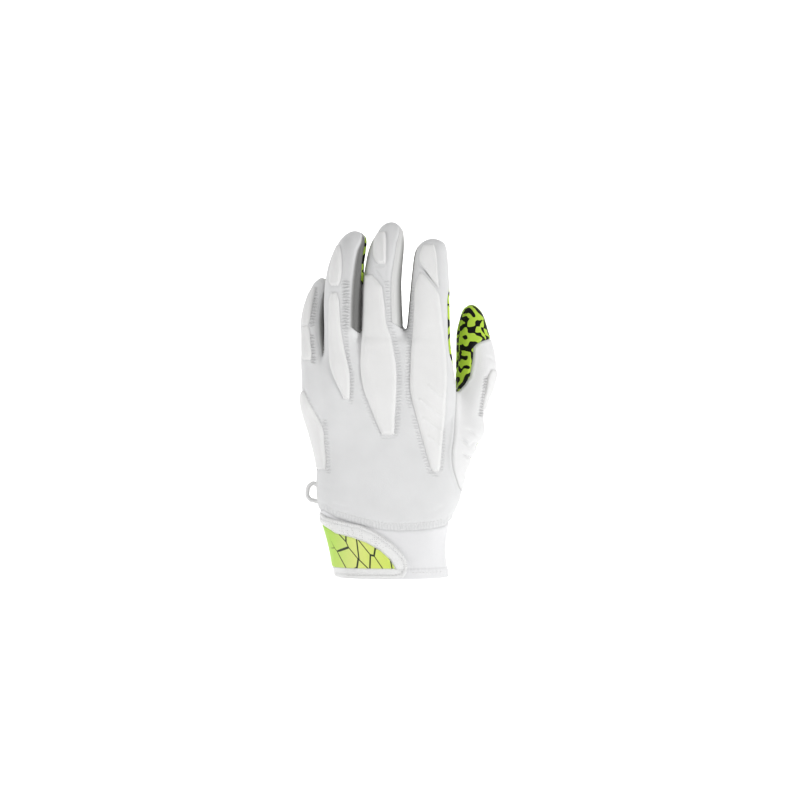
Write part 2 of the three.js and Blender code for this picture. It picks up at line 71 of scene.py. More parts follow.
# Each row is height, place across, half breadth, place in depth, half depth. turn is in degrees about the
# length, blend is how softly the tube flows into the hand, and top is where it closes.
TUBES = {
    "hand": {
        "turn": 0, "blend": 0.0, "top": 158.0, "rows": [
            (0, 2.15, 35.6, 2, 24), (20.5, -0.35, 36.8, 2, 23.2), (31.4, -1.2, 39.0, 2, 22.8),
            (42.9, -2.1, 42.5, 2, 22.4), (55.7, -0.9, 45.6, 2.5, 22), (74.9, -0.3, 46.2, 3, 21.3),
            (87.7, -2.3, 47.3, 3, 20.3), (100.5, -4.6, 48.2, 2.5, 19), (113, -5.6, 49, 2, 17.6),
            (123, -5.8, 48.2, 1.5, 16.2), (135, -5.2, 44.8, 1, 14), (145, 0, 36, 0.5, 12.4),
            (151.5, 2.5, 27.5, 0.3, 10), (155.5, 2, 22, 0.3, 6)]},
    "little": {
        "turn": -18, "blend": 3.0, "top": 192.2, "rows": [
            (108, -45, 9.5, 1, 10), (125, -45.8, 9.6, 2, 9.8), (140, -47.2, 9, 4, 9.4),
            (155, -48.4, 8, 6.5, 8.8), (166, -48.6, 7.7, 8.6, 8.4), (177.3, -47, 6.9, 11, 7.8),
            (184, -45, 6.1, 12.8, 6.9), (188.6, -43.6, 4.6, 14, 5.2), (191.2, -43, 2.4, 14.8, 2.8)]},
    "ring": {
        "turn": -22, "blend": 4.5, "top": 222.4, "rows": [
            (105, -29, 10.5, 0.5, 11.5), (137, -29.6, 11.6, 0, 11.6), (158, -29.3, 11.9, 0.6, 11.4),
            (179, -29.3, 12.2, 2.6, 11), (190, -28.6, 12.1, 4.4, 10.7), (204, -26.7, 11, 7.6, 10),
            (210.5, -25, 10.1, 9.6, 9.4), (216.5, -22.9, 8.2, 11.6, 7.6), (220, -22.1, 5.6, 12.8, 5.2),
            (221.8, -21.9, 2.8, 13.5, 2.6)]},
    "middle": {
        "turn": -14, "blend": 4.5, "top": 228.1, "rows": [
            (105, -4.5, 12.6, 0, 12.4), (140, -4.4, 13.2, 0, 12.2), (157, -4.2, 13.1, 0.3, 12),
            (179, -4.5, 12.5, 2.6, 11.4), (190, -4.2, 12.1, 4.4, 11), (200, -3.1, 11.7, 6.6, 10.6),
            (209, -1.8, 11.2, 9, 10.1), (216.5, -0.4, 10, 11.2, 9), (222.2, 1, 8, 12.8, 7.2),
            (225.8, 1.5, 5.4, 13.8, 5), (227.6, 1.6, 2.7, 14.4, 2.6)]},
    "index": {
        "turn": 6, "blend": 4.5, "top": 217.2, "rows": [
            (105, 26, 13, 0.5, 12), (140, 25.6, 14, 0, 12), (157, 25.3, 13.8, 0.4, 11.9),
            (168, 25.7, 13.2, 1.4, 11.6), (190, 26.5, 12, 4.4, 10.8), (199, 26.8, 11.3, 6.2, 10.3),
            (206, 27, 10.6, 7.8, 9.7), (211.2, 27.5, 9.4, 9.2, 8.6), (214.6, 28, 7.2, 10.2, 6.6),
            (216.6, 28.2, 3.6, 10.9, 3.4)]},
    "thumb": {
        "turn": 0, "blend": 8.0, "top": 175.2, "rows": [
            (50, 30, 14, 6, 13), (62, 32, 15.5, 8, 15), (82, 38.5, 18.3, 11, 16.4), (92, 43, 18.4, 13, 16),
            (103, 47, 14.2, 15, 14.4), (112, 51.4, 11.8, 17, 13), (121, 54.9, 12, 19, 12.5),
            (129, 56, 13, 20.5, 12.5), (149, 55.4, 11.9, 23, 11.5), (157, 54.2, 10.4, 24, 10.3),
            (165, 54, 8.4, 25, 8.4), (170.6, 53.7, 6.2, 25.6, 6.2), (174, 53.5, 3.3, 26, 3.3)]},
}
HEIGHTS = np.arange(-60.0, 300.0, 0.25)


def through(z, values, wanted):
    """A smooth curve through the points (z, values), by cubic pieces with the points' mean slopes."""
    z, values = np.asarray(z, float), np.asarray(values, float)
    steep = np.gradient(values, z)
    i = np.clip(np.searchsorted(z, wanted) - 1, 0, len(z) - 2)
    gap = z[i + 1] - z[i]
    t = np.clip((wanted - z[i]) / gap, 0, 1)
    low = values[i] * (1 + 2 * t) * (1 - t) ** 2 + gap * steep[i] * t * (1 - t) ** 2
    return low + values[i + 1] * t * t * (3 - 2 * t) - gap * steep[i + 1] * t * t * (1 - t)


def fine_columns(name, tube):
    """Columns at HEIGHTS: place across and in depth, half breadth squared, breadth over depth, and its slope.

    A finger starts at nothing 14 mm below its first row. Past its ends, half breadth squared goes on falling.
    """
    rows = np.array(tube["rows"], float)
    z = np.append(rows[:, 0], tube["top"])
    squared = np.append(rows[:, 2] ** 2, 0.0)
    ratio = np.append(rows[:, 2] / rows[:, 4], rows[-1, 2] / rows[-1, 4])
    across = np.append(rows[:, 1], rows[-1, 1])
    depth = np.append(rows[:, 3], rows[-1, 3])
    if name != "hand":
        foot = z[0] - 14.0
        z = np.insert(z, 0, foot)
        squared = np.insert(squared, 0, 0.0)
        ratio, across, depth = [np.insert(c, 0, c[0]) for c in (ratio, across, depth)]
    columns = [through(z, c, HEIGHTS) for c in (across, depth, squared, ratio)]
    over = HEIGHTS > z[-1]
    columns[2][over] = -(HEIGHTS[over] - z[-1]) * squared[-2] / (z[-1] - z[-2])
    under = HEIGHTS < z[0]
    if name != "hand":
        columns[2][under] = -(z[0] - HEIGHTS[under]) * squared[1] / (z[1] - z[0])
    return columns + [np.gradient(columns[2], HEIGHTS)]


COLUMNS = {name: fine_columns(name, tube) for name, tube in TUBES.items()}


def section(name, z):
    """A tube's place across, place in depth, half breadth squared, breadth over depth and its slope, at z."""
    return [np.interp(z, HEIGHTS, column) for column in COLUMNS[name]]


def local(name, x, y, z):
    """Points in a tube's own axes: u along its breadth and v along its depth."""
    across, depth = section(name, z)[:2]
    angle = math.radians(TUBES[name]["turn"])
    u = (x - across) * math.cos(angle) + (y - depth) * math.sin(angle)
    v = (y - depth) * math.cos(angle) - (x - across) * math.sin(angle)
    return u, v


def tube_distance(name, x, y, z):
    """About how far a point is outside a tube: (|u|^n + |qv|^n)^(2/n) - a^2, divided by its slope."""
    _, _, squared, ratio, slope = section(name, z)
    u, v = local(name, x, y, z)
    q = np.abs(v) * ratio
    inner = (np.abs(u) ** ROUNDNESS + q**ROUNDNESS + 1e-9) ** (2 / ROUNDNESS) - squared
    steep = 4 * (u * u + (ratio * q) ** 2) + slope * slope + 0.3 * np.abs(squared) + 1.0
    return inner / np.sqrt(steep)


def bell(gap, width, power=2):
    """1 on a line and fading to nothing beside it: exp(-(gap / width)^power)."""
    return np.exp(-((gap / width) ** power))


def ramp(value, length):
    """0 up to value 0, 1 from value length, and straight between: value / length, held between 0 and 1."""
    return np.clip(value / length, 0, 1)


def rounded(share):
    """A quarter circle's height at a share of its radius from the edge: sqrt(1 - (1 - share)^2)."""
    return np.sqrt(1 - (1 - share) ** 2)


def soft_least(a, b, k):
    """The lesser of a and b, rounded over a width k: min(a, b) - h^2 k / 4."""
    h = np.maximum(k - np.abs(a - b), 0) / k
    return np.minimum(a, b) - h * h * k / 4


def distance(x, y, z):
    """About how far a point is outside the glove, in millimetres."""
    hand = tube_distance("hand", x, y, z)
    whole = None
    for name in [*FINGERS, "thumb"]:
        joined = soft_least(tube_distance(name, x, y, z), hand, TUBES[name]["blend"])
        whole = joined if whole is None else np.minimum(whole, joined)
    return whole


def slopes(points):
    """Unit normals of the distance field at points, by central differences of 0.15 mm."""
    x, y, z = points.T
    e = 0.15
    g = np.stack([distance(x + e, y, z) - distance(x - e, y, z),
                  distance(x, y + e, z) - distance(x, y - e, z),
                  distance(x, y, z + e) - distance(x, y, z - e)], axis=1)
    size = np.linalg.norm(g, axis=1, keepdims=True)
    return g / np.maximum(size, 1e-9), size[:, 0] / (2 * e)


def net(step, low, high):
    """The surface where distance is 0, as points and quads: one point in each crossed cell of a cubic grid.

    Each point is the mean of the crossings on its cell's edges, then moved by -distance / slope three times.
    """
    axes = [np.arange(low[k], high[k] + step, step) for k in range(3)]
    field = np.empty([len(a) for a in axes], np.float32)
    plane_x, plane_y = axes[0][:, None], axes[1][None, :]
    for k, z in enumerate(axes[2]):
        field[:, :, k] = distance(plane_x, plane_y, np.full((1, 1), z))
    inside = field < 0
    corners = [(i, j, k) for i in (0, 1) for j in (0, 1) for k in (0, 1)]
    nx, ny, nz = [n - 1 for n in field.shape]
    count = np.zeros((nx, ny, nz), np.int8)
    for i, j, k in corners:
        count += inside[i:i + nx, j:j + ny, k:k + nz]
    mixed = (count > 0) & (count < 8)
    cell = np.argwhere(mixed)
    number = np.full(mixed.shape, -1, np.int64)
    number[mixed] = np.arange(len(cell))
    total = np.zeros((len(cell), 3))
    hits = np.zeros(len(cell))
    for axis in range(3):
        for i, j in ((0, 0), (0, 1), (1, 0), (1, 1)):
            start = np.insert(np.array([i, j]), axis, 0)
            end = start + np.eye(3, dtype=int)[axis]
            a = field[tuple((cell + start).T)].astype(float)
            b = field[tuple((cell + end).T)].astype(float)
            crossed = (a < 0) != (b < 0)
            share = np.where(crossed, a / np.where(crossed, a - b, 1), 0)
            total += np.where(crossed[:, None], cell + start + share[:, None] * (end - start), 0)
            hits += crossed
    points = np.array(low) + step * total / hits[:, None]
    quads = []
    for axis in range(3):
        b, c = (axis + 1) % 3, (axis + 2) % 3
        first = inside.take(range(inside.shape[axis] - 1), axis)
        second = inside.take(range(1, inside.shape[axis]), axis)
        edge = np.argwhere(first != second)
        room = (edge[:, b] > 0) & (edge[:, c] > 0)
        room &= (edge[:, b] < inside.shape[b] - 1) & (edge[:, c] < inside.shape[c] - 1)
        edge = edge[room]
        out = first[tuple(edge.T)]
        ring = []
        for db, dc in ((-1, -1), (0, -1), (0, 0), (-1, 0)):
            other = edge.copy()
            other[:, b] += db
            other[:, c] += dc
            ring.append(number[tuple(other.T)])
        ring = np.stack(ring, axis=1)
        ring[~out] = ring[~out][:, ::-1]
        quads.append(ring)
    for _ in range(3):
        normal, size = slopes(points)
        move = distance(*points.T) / np.maximum(size, 0.3)
        points = points - normal * np.clip(move, -0.5 * step, 0.5 * step)[:, None]
    return points, np.concatenate(quads)


def signed(x, z, line):
    """Distance from (x, z) to a drawn line, positive on the left of its direction."""
    best = np.full(np.shape(x), 1e9)
    side = np.zeros(np.shape(x))
    for (x0, z0), (x1, z1) in zip(line, line[1:]):
        dx, dz = x1 - x0, z1 - z0
        t = np.clip(((x - x0) * dx + (z - z0) * dz) / (dx * dx + dz * dz), 0, 1)
        gap = np.hypot(x - x0 - t * dx, z - z0 - t * dz)
        turn = dx * (z - z0) - dz * (x - x0)
        nearer = gap < best - 1e-9
        side = np.where(nearer, np.sign(turn), side)
        best = np.where(nearer, gap, best)
    return best * side


def outline_gap(x, z, outline):
    """Distance from (x, z) to a closed outline, negative inside it."""
    best = np.full(np.shape(x), 1e9)
    within = np.zeros(np.shape(x), bool)
    for (x0, z0), (x1, z1) in zip(outline, outline[1:] + outline[:1]):
        dx, dz = x1 - x0, z1 - z0
        t = np.clip(((x - x0) * dx + (z - z0) * dz) / (dx * dx + dz * dz + 1e-12), 0, 1)
        best = np.minimum(best, np.hypot(x - x0 - t * dx, z - z0 - t * dz))
        crosses = (z0 > z) != (z1 > z)
        at = x0 + (z - z0) * dx / np.where(dz == 0, 1e-12, dz)
        within ^= crosses & (x < at)
    return np.where(within, -best, best)


def clip(data, triangles, value):
    """The part of a triangle mesh where value is negative.

    A new point on each cut edge from p to q lies at its share value[p] / (value[p] - value[q]).
    """
    low = value < 0
    kept = low[triangles].sum(axis=1)
    whole = triangles[kept == 3]
    data = [data]
    start = len(value)
    made = {}
    extra = []
    new_faces = []
    for wanted in (1, 2):
        faces = triangles[kept == wanted]
        odd = low[faces] if wanted == 1 else ~low[faces]
        first = odd.argmax(axis=1)
        rows = np.arange(len(faces))
        a, b, c = faces[rows, first], faces[rows, (first + 1) % 3], faces[rows, (first + 2) % 3]
        new_faces.append((wanted, a, b, c))
        extra.append(np.stack([a, b], axis=1))
        extra.append(np.stack([a, c], axis=1))
    pairs = np.sort(np.concatenate(extra), axis=1)
    unique, index = np.unique(pairs, axis=0, return_inverse=True)
    index = index.reshape(-1)
    p, q = unique.T
    share = value[p] / np.where(value[p] == value[q], 1, value[p] - value[q])
    data.append(data[0][p] + share[:, None] * (data[0][q] - data[0][p]))
    data = np.concatenate(data)
    result = [whole]
    at = 0
    for wanted, a, b, c in new_faces:
        n = len(a)
        ab, ac = start + index[at:at + n], start + index[at + n:at + 2 * n]
        at += 2 * n
        if wanted == 1:
            result.append(np.stack([a, ab, ac], axis=1))
        else:
            result.append(np.stack([ab, b, c], axis=1))
            result.append(np.stack([ab, c, ac], axis=1))
    triangles = np.concatenate(result)
    used, triangles = np.unique(triangles, return_inverse=True)
    return data[used], triangles.reshape(-1, 3)


def cut(data, triangles, value):
    """Both parts of a triangle mesh: where value is negative, and where it is positive."""
    return (*clip(data, triangles, value), *clip(data, triangles, -value))


def piece(name, points, faces, material, seam=None, pucker=None, phase=None):
    """A smooth mesh object from millimetre points, riding on the glove."""
    mesh = bpy.data.meshes.new(name)
    mesh.from_pydata((np.asarray(points) / 1000).tolist(), [], [list(map(int, face)) for face in faces])
    mesh.polygons.foreach_set("use_smooth", [True] * len(mesh.polygons))
    if seam is not None:
        mesh.attributes.new("seam", "FLOAT", "POINT").data.foreach_set("value", np.asarray(seam, float))
    if pucker is not None:
        mesh.attributes.new("pucker", "FLOAT", "POINT").data.foreach_set("value", np.asarray(pucker, float))
        mesh.attributes.new("phase", "FLOAT", "POINT").data.foreach_set("value", np.asarray(phase, float))
    mesh.materials.append(material)
    made = bpy.data.objects.new(name, mesh)
    bpy.context.scene.collection.objects.link(made)
    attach(made, "root")
    return made


def add_node(tree, kind, inputs, **settings):
    """A shader node with its settings. Each of its inputs takes a value or another node's output."""
    made = tree.nodes.new(kind)
    for setting, value in settings.items():
        setattr(made, setting, value)
    for socket, value in inputs.items():
        if isinstance(value, bpy.types.NodeSocket):
            tree.links.new(value, made.inputs[socket])
        else:
            made.inputs[socket].default_value = value
    return made


# Weave shared by every cloth: fine thread bumps, faint random changes of tone, drawn-up gathers, and painted
# shading:
# the colour is mixed darker as painted shade in seams, folds, gathers and round pads, paler as painted light
# on wall edges.
weave = bpy.data.node_groups.new("cloth_weave", "ShaderNodeTree")
for socket, way, kind in [("Colour", "INPUT", "Color"), ("Painted Shading Colour", "INPUT", "Color"),
                          ("Thread Scale", "INPUT", "Float"), ("Thread Strength", "INPUT", "Float"),
                          ("Colour", "OUTPUT", "Color"), ("Normal", "OUTPUT", "Vector")]:
    weave.interface.new_socket(name=socket, in_out=way, socket_type="NodeSocket" + kind)
given = add_node(weave, "NodeGroupInput", {}).outputs
place = add_node(weave, "ShaderNodeTexCoord", {}).outputs["Object"]
patch = add_node(weave, "ShaderNodeTexNoise", {"Vector": place, "Scale": 60, "Detail": 3}).outputs["Fac"]
tint = add_node(weave, "ShaderNodeMapRange", {
    "Value": patch, "From Min": 0.3, "From Max": 0.7, "To Min": 0.95})
tinted = add_node(weave, "ShaderNodeVectorMath", {0: given["Colour"], "Scale": tint.outputs["Result"]},
                  operation="SCALE")
# The mesh attribute read here is painted shading: shade in grooves and folds, and a painted light edge on the
# finger walls.
painted_shading_amount = add_node(weave, "ShaderNodeAttribute", {}, attribute_name="seam").outputs["Fac"]
phase = add_node(weave, "ShaderNodeAttribute", {}, attribute_name="phase").outputs["Fac"]
pucker = add_node(weave, "ShaderNodeAttribute", {}, attribute_name="pucker").outputs["Fac"]
uneven = add_node(weave, "ShaderNodeTexNoise", {"Vector": place, "Scale": 330, "Detail": 2}).outputs["Fac"]
stagger = add_node(weave, "ShaderNodeMath", {0: uneven, 1: 9.0, 2: phase}, operation="MULTIPLY_ADD")
gathers = add_node(weave, "ShaderNodeMath", {0: stagger.outputs["Value"]}, operation="SINE").outputs["Value"]
raised = add_node(weave, "ShaderNodeMapRange", {"Value": gathers, "From Min": -0.6, "From Max": 1.0})
ticks = add_node(weave, "ShaderNodeMath", {0: raised.outputs["Result"], 1: pucker},
                 operation="MULTIPLY").outputs["Value"]
# Painted shade in the gathers, added to the painted shading from the mesh attribute.
shade = add_node(weave, "ShaderNodeMath", {0: ticks, 1: 0.4, 2: painted_shading_amount}, operation="MULTIPLY_ADD")
toned = add_node(weave, "ShaderNodeMix", {"Factor": shade.outputs["Value"], "A": tinted.outputs["Vector"],
                                          "B": given["Painted Shading Colour"]}, data_type="RGBA")
thread = add_node(weave, "ShaderNodeTexVoronoi", {"Vector": place, "Scale": given["Thread Scale"]})
bump = add_node(weave, "ShaderNodeBump", {"Distance": 0.0003, "Strength": given["Thread Strength"],
                                          "Height": thread.outputs["Distance"]})
folds = add_node(weave, "ShaderNodeBump", {"Strength": 0.9, "Distance": 0.0006, "Height": ticks,
                                           "Normal": bump.outputs["Normal"]}, invert=True)
add_node(weave, "NodeGroupOutput", {"Colour": toned.outputs["Result"], "Normal": folds.outputs["Normal"]})


def cloth(name, colour, roughness, sheen, scale, strength, painted_shading_colour=None):
    """A woven or knitted cloth, coloured and raised by the weave with its own threads and the colour of its
    painted shading.
    """
    material = bpy.data.materials.new(name)
    material.use_nodes = True
    shader = material.node_tree.nodes["Principled BSDF"]
    shader.inputs["Roughness"].default_value = roughness
    shader.inputs["Sheen Weight"].default_value = sheen
    shader.inputs["Sheen Roughness"].default_value = 0.5
    woven = add_node(material.node_tree, "ShaderNodeGroup", {
        "Colour": [*colour, 1], "Painted Shading Colour": [*(painted_shading_colour or [c * 0.55 for c in colour]), 1],
        "Thread Scale": scale, "Thread Strength": strength}, node_tree=weave)
    material.node_tree.links.new(woven.outputs["Colour"], shader.inputs["Base Color"])
    material.node_tree.links.new(woven.outputs["Normal"], shader.inputs["Normal"])
    return material


def print_over(material, bare, under, printed):
    """Colours a material as under where bare is 1, and in the printed colour where it is 0."""
    tree = material.node_tree
    mix = add_node(tree, "ShaderNodeMix", {"Factor": bare, "A": printed, "B": under}, data_type="RGBA")
    tree.links.new(mix.outputs["Result"], tree.nodes["Principled BSDF"].inputs["Base Color"])


STEP = 0.7
points, quads = net(STEP, (-62, -26, 24), (74, 42, 232))
triangles = np.concatenate([quads[:, [0, 1, 2]], quads[:, [0, 2, 3]]])
base = np.concatenate([points, slopes(points)[0]], axis=1)

# Seam lines, as places across and heights. Each function below is negative on the side that it names.
CUFF_SEAM = [(-90, 43), (-41.6, 42.9), (-33, 38.3), (-25, 35.8), (-9, 32), (-2.6, 30.9), (7, 30.4),
             (16.6, 30.7), (26, 31.4), (35.8, 32.8), (39, 35.8), (90, 37)]
THUMB_SEAM = [(46.7, 55), (44.8, 58.2), (43.5, 62), (42.2, 65.9), (41, 69.8), (40.3, 74.9), (40.3, 81.3),
              (41.3, 87.7), (42, 94), (42.4, 100.5), (43, 106.9), (43.4, 113.3), (43.5, 121), (43.3, 170)]
WRAP_SEAM = [(38, 116), (44.8, 119.5), (48.6, 123.4), (51.8, 128.5), (53.1, 135.2), (54, 141), (54.4, 147.5),
             (56.5, 149.6), (60, 151.3), (64, 152.6), (67, 153.6), (80, 156)]
PALM_WRAP_SEAM = [(15, 119), (29, 108), (39, 98), (49, 90), (63, 84), (90, 82)]

# How much of a finger's half depth its side walls take, up its length, how much of that lies in front of the
# finger's middle, and the height of each gap between two fingers.
WALL_SHARES = [(-0.3, 1), (0.5, 0.97), (0.8, 0.88), (0.93, 0.6), (1.0, -0.3)]
WALL_FRONTS = [0.66, 0.74, 0.8, 0.5]
CROTCHES = [138.0, 157.0, 160.0]


def cuff_gap(x, y, z):
    """Negative below the seam between the back panel and the cuff."""
    return z - np.interp(x, *zip(*CUFF_SEAM))


def side_gap(x, y, z):
    """Negative on the back of the hand: y less the edge seam's y.

    The seam runs straight between the finger centres, 1.2 mm behind them. It lies further forward where the
    index and the ring finger's tip show their lime side, and further back down the thumb.
    """
    columns = [section(name, z)[:2] for name in [*FINGERS, "thumb"]]
    places = [c[0] for c in columns]
    depths = [c[1] + 1.2 for c in columns]
    lean = np.sin(np.pi / 2 * ramp(np.minimum(z - 118, 203 - z), 27)) ** 2
    edge = depths[3] - 6.5
    depths[4] = depths[4] + 1.5 + 2.5 * ramp(112 - z, 8)
    turned = 7 * ramp(np.minimum(z - 180, 221 - z), 8)
    turned = turned * (tube_distance("ring", x, y, z) < tube_distance("middle", x, y, z))
    places[4] = np.maximum(places[4], places[3] + 9)
    seam = np.where(x < places[0], depths[0], depths[4])
    for i in range(4):
        t = (x - places[i]) / (places[i + 1] - places[i])
        here = (t >= 0) & (t < 1)
        seam = np.where(here, depths[i] * (1 - t) + depths[i + 1] * t, seam)
    seam = seam - turned * ramp(x - places[1] - 3, 3)
    outer = ramp(x - places[3] - 6, 5) * (x < places[3] + 16)
    return y - seam + outer * lean * (seam - edge)


def wall_gap(x, y, z):
    """Negative on the side walls between the fingers, and which of the three walls a point is on.

    A wall is the band of its finger's side from WALL_FRONTS of half in front of the middle to 0.3 of half
    behind it, where half is the finger's half depth times WALL_SHARES.
    """
    near = np.full(np.shape(x), 1e9)
    gap = np.full(np.shape(x), 9.0)
    which = np.zeros(np.shape(x), int)
    for i, name in enumerate(FINGERS):
        away = tube_distance(name, x, y, z)
        u, v = local(name, x, y, z)
        _, _, squared, ratio, _ = section(name, z)
        depth = np.sqrt(np.maximum(squared, 0)) / ratio
        wall = np.where(u > 0, i, i - 1)
        real = (wall >= 0) & (wall < 3)
        low = np.array(CROTCHES)[np.clip(wall, 0, 2)]
        along = (z - low) / (TUBES[name]["top"] - low)
        half = np.interp(along, *zip(*WALL_SHARES)) * depth
        half = half * np.sqrt(np.clip((z - low + 1) / 4, 0.001, 1))
        front = np.where(u > 0, -WALL_FRONTS[i] * half, -0.12 * depth)
        rear = np.where((i == 1) & (u > 0), 0.3 - 0.34 * ramp(z - 184, 6), 0.3) * half
        here = np.where(real, np.maximum(v - rear, front - v), np.abs(v) + 4)
        here = np.where(z > low - 12, here, np.maximum(here, 3))
        nearer = away < near
        gap = np.where(nearer, here, gap)
        which = np.where(nearer, np.clip(wall, 0, 2), which)
        near = np.where(nearer, away, near)
    return gap, which


def wrap_gap(x, y, z):
    """Negative on the lime wrap: on the thumb, past WRAP_SEAM in front and PALM_WRAP_SEAM behind."""
    thumb = tube_distance("thumb", x, y, z)
    near = thumb - np.minimum(tube_distance("index", x, y, z), tube_distance("middle", x, y, z))
    near = np.where(z > 104, near, -5.0)
    side = side_gap(x, y, z)
    rear = np.maximum(-side, -signed(x, z, PALM_WRAP_SEAM))
    front = np.maximum(side, -signed(x, z, WRAP_SEAM))
    front = np.where(z < 112, 9.0, front)
    return np.maximum(near, np.minimum(rear, front))


def thumb_panel_gap(x, y, z):
    """Negative on the thumb's side of the long seam, on the back of the hand."""
    places, heights = zip(*THUMB_SEAM)
    return np.interp(z, heights, places) - x


# Pulls and folds in the cloth in front, from x, z to x, z, with half width and depth.
CREASES = [
    (46.6, 89.3, 51.6, 83.4, 1.0, 1.2), (47.4, 79.2, 53.0, 76.0, 0.9, 1.1),
    (50.5, 94.5, 56.5, 90.5, 1.2, 0.9), (56.0, 82.5, 60.5, 87.5, 1.0, 1.6),
    (53.5, 75.5, 58.0, 80.5, 1.0, 1.4), (50.0, 66.0, 53.5, 70.5, 1.1, 1.0),
    (51.6, 83.4, 55.5, 86.5, 0.9, 0.9), (53.0, 76.0, 54.5, 71.5, 0.9, 0.8),
    (63.5, 141.5, 68.0, 139.0, 1.0, 0.5), (60.5, 121.0, 66.0, 118.5, 1.0, 0.35),
    (20.5, 198.5, 32.0, 187.0, 0.9, 1.0), (-8.8, 197.8, -3.4, 189.2, 0.8, 0.7),
    (-1.8, 199.0, -2.6, 190.5, 0.6, 0.35), (-8.6, 199.0, -2.0, 199.2, 0.6, 0.4),
    (-46.0, 60.0, -36.0, 57.0, 1.6, 0.3), (-38.0, 47.5, -26.0, 45.5, 1.6, 0.3),
    (28.0, 42.0, 36.0, 46.5, 1.6, 0.3),
]

# Creases in the palm and the finger fronts: a line, half width and depth.
PALM_CREASES = [
    ([(42, 116), (27, 107), (15, 93), (8, 76), (6, 56)], 1.7, 1.0),
    ([(38, 129), (20, 126), (0, 119), (-22, 112)], 1.6, 0.7),
    ([(-50, 120), (-28, 127), (-8, 133), (6, 139)], 1.6, 0.8), ([(-4, 112), (-10, 90), (-11, 66)], 1.8, 0.4),
    ([(-54, 162), (-42, 162)], 1.3, 0.7), ([(-52, 176), (-42, 176.5)], 1.2, 0.5),
    ([(-39, 180), (-20, 180)], 1.4, 0.7), ([(-35, 201), (-17, 201)], 1.2, 0.5),
    ([(-15, 183), (7, 183)], 1.4, 0.7), ([(-12, 206), (9, 206)], 1.2, 0.5),
    ([(15, 178), (38, 178)], 1.4, 0.7), ([(17, 199), (37, 199)], 1.2, 0.5),
    ([(44, 132), (66, 133)], 1.3, 0.7), ([(46, 103), (62, 96)], 1.6, 0.8),
]


def lowered(data):
    """Points sunk into the seams and folds, and the painted shade that the cloth takes there.

    A seam is a groove with a rolled edge beside it, a fold or crease is one bell across its line, and the
    cloth above the cuff's seam is gathered in small waves.
    """
    x, y, z = data[:, :3].T
    wall = np.abs(wall_gap(x, y, z)[0])
    wrap = np.abs(wrap_gap(x, y, z))
    side = side_gap(x, y, z)
    thumb = np.where(side < 1, thumb_panel_gap(x, y, z), 9)
    thumb = np.where((z < 124) & (z > 52), thumb, 9)
    cuff = cuff_gap(x, y, z)
    gap = np.minimum.reduce([wall, wrap, np.abs(thumb), np.abs(side), np.abs(cuff)])
    sink = 0.5 * bell(gap, 0.8) - 0.2 * bell(gap - 1.8, 0.8)
    sink -= 0.35 * bell(thumb - 1.3, 0.8)
    gather = bell(cuff - 2, 3.0) * np.clip(24.0 - np.abs(x - 3), 0, 8) / 8
    sink += 0.14 * gather * np.sin(2 * np.pi * x / 2.4 + 1.4 * np.sin(x * 0.9))
    sink += 0.3 * bell(cuff - 4.6, 0.7) * (side < 2)
    painted_fold_shade = np.zeros(len(x))
    for x0, z0, x1, z1, width, depth in CREASES:
        dx, dz = x1 - x0, z1 - z0
        t = np.clip(((x - x0) * dx + (z - z0) * dz) / (dx**2 + dz**2), -0.3, 1.3)
        away = np.hypot(x - x0 - t * dx, z - z0 - t * dz)
        taper = np.clip(1.3 - 1.6 * np.abs(t - 0.5), 0, 1)
        fold = np.where(side < 0, depth * taper * bell(away, width), 0)
        sink += fold
        # A deep fold also takes painted shade along its line.
        painted_fold_shade = np.maximum(painted_fold_shade, 0.3 * np.clip(fold - 0.4, 0, 1))
    for line, width, depth in PALM_CREASES:
        sink += np.where(side > 0, depth * ramp(side, 4) * bell(signed(x, z, line), width), 0)
    # Painted shade in the seam grooves, lighter over the cuff's seam.
    seam = bell(gap, 0.5) * np.where(np.abs(cuff) < 2, 0.45, 0.8)
    return data[:, :3] - sink[:, None] * data[:, 3:6], np.maximum(seam, painted_fold_shade)


body, body_faces = clip(base, triangles, -cuff_gap(*base[:, :3].T))
walls, wall_faces, body, body_faces = cut(body, body_faces, wall_gap(*body[:, :3].T)[0])
wrap, wrap_faces, body, body_faces = cut(body, body_faces, wrap_gap(*body[:, :3].T))
back, back_faces, palm, palm_faces = cut(body, body_faces, side_gap(*body[:, :3].T))
gusset, gusset_faces, back, back_faces = cut(back, back_faces, thumb_panel_gap(*back[:, :3].T))

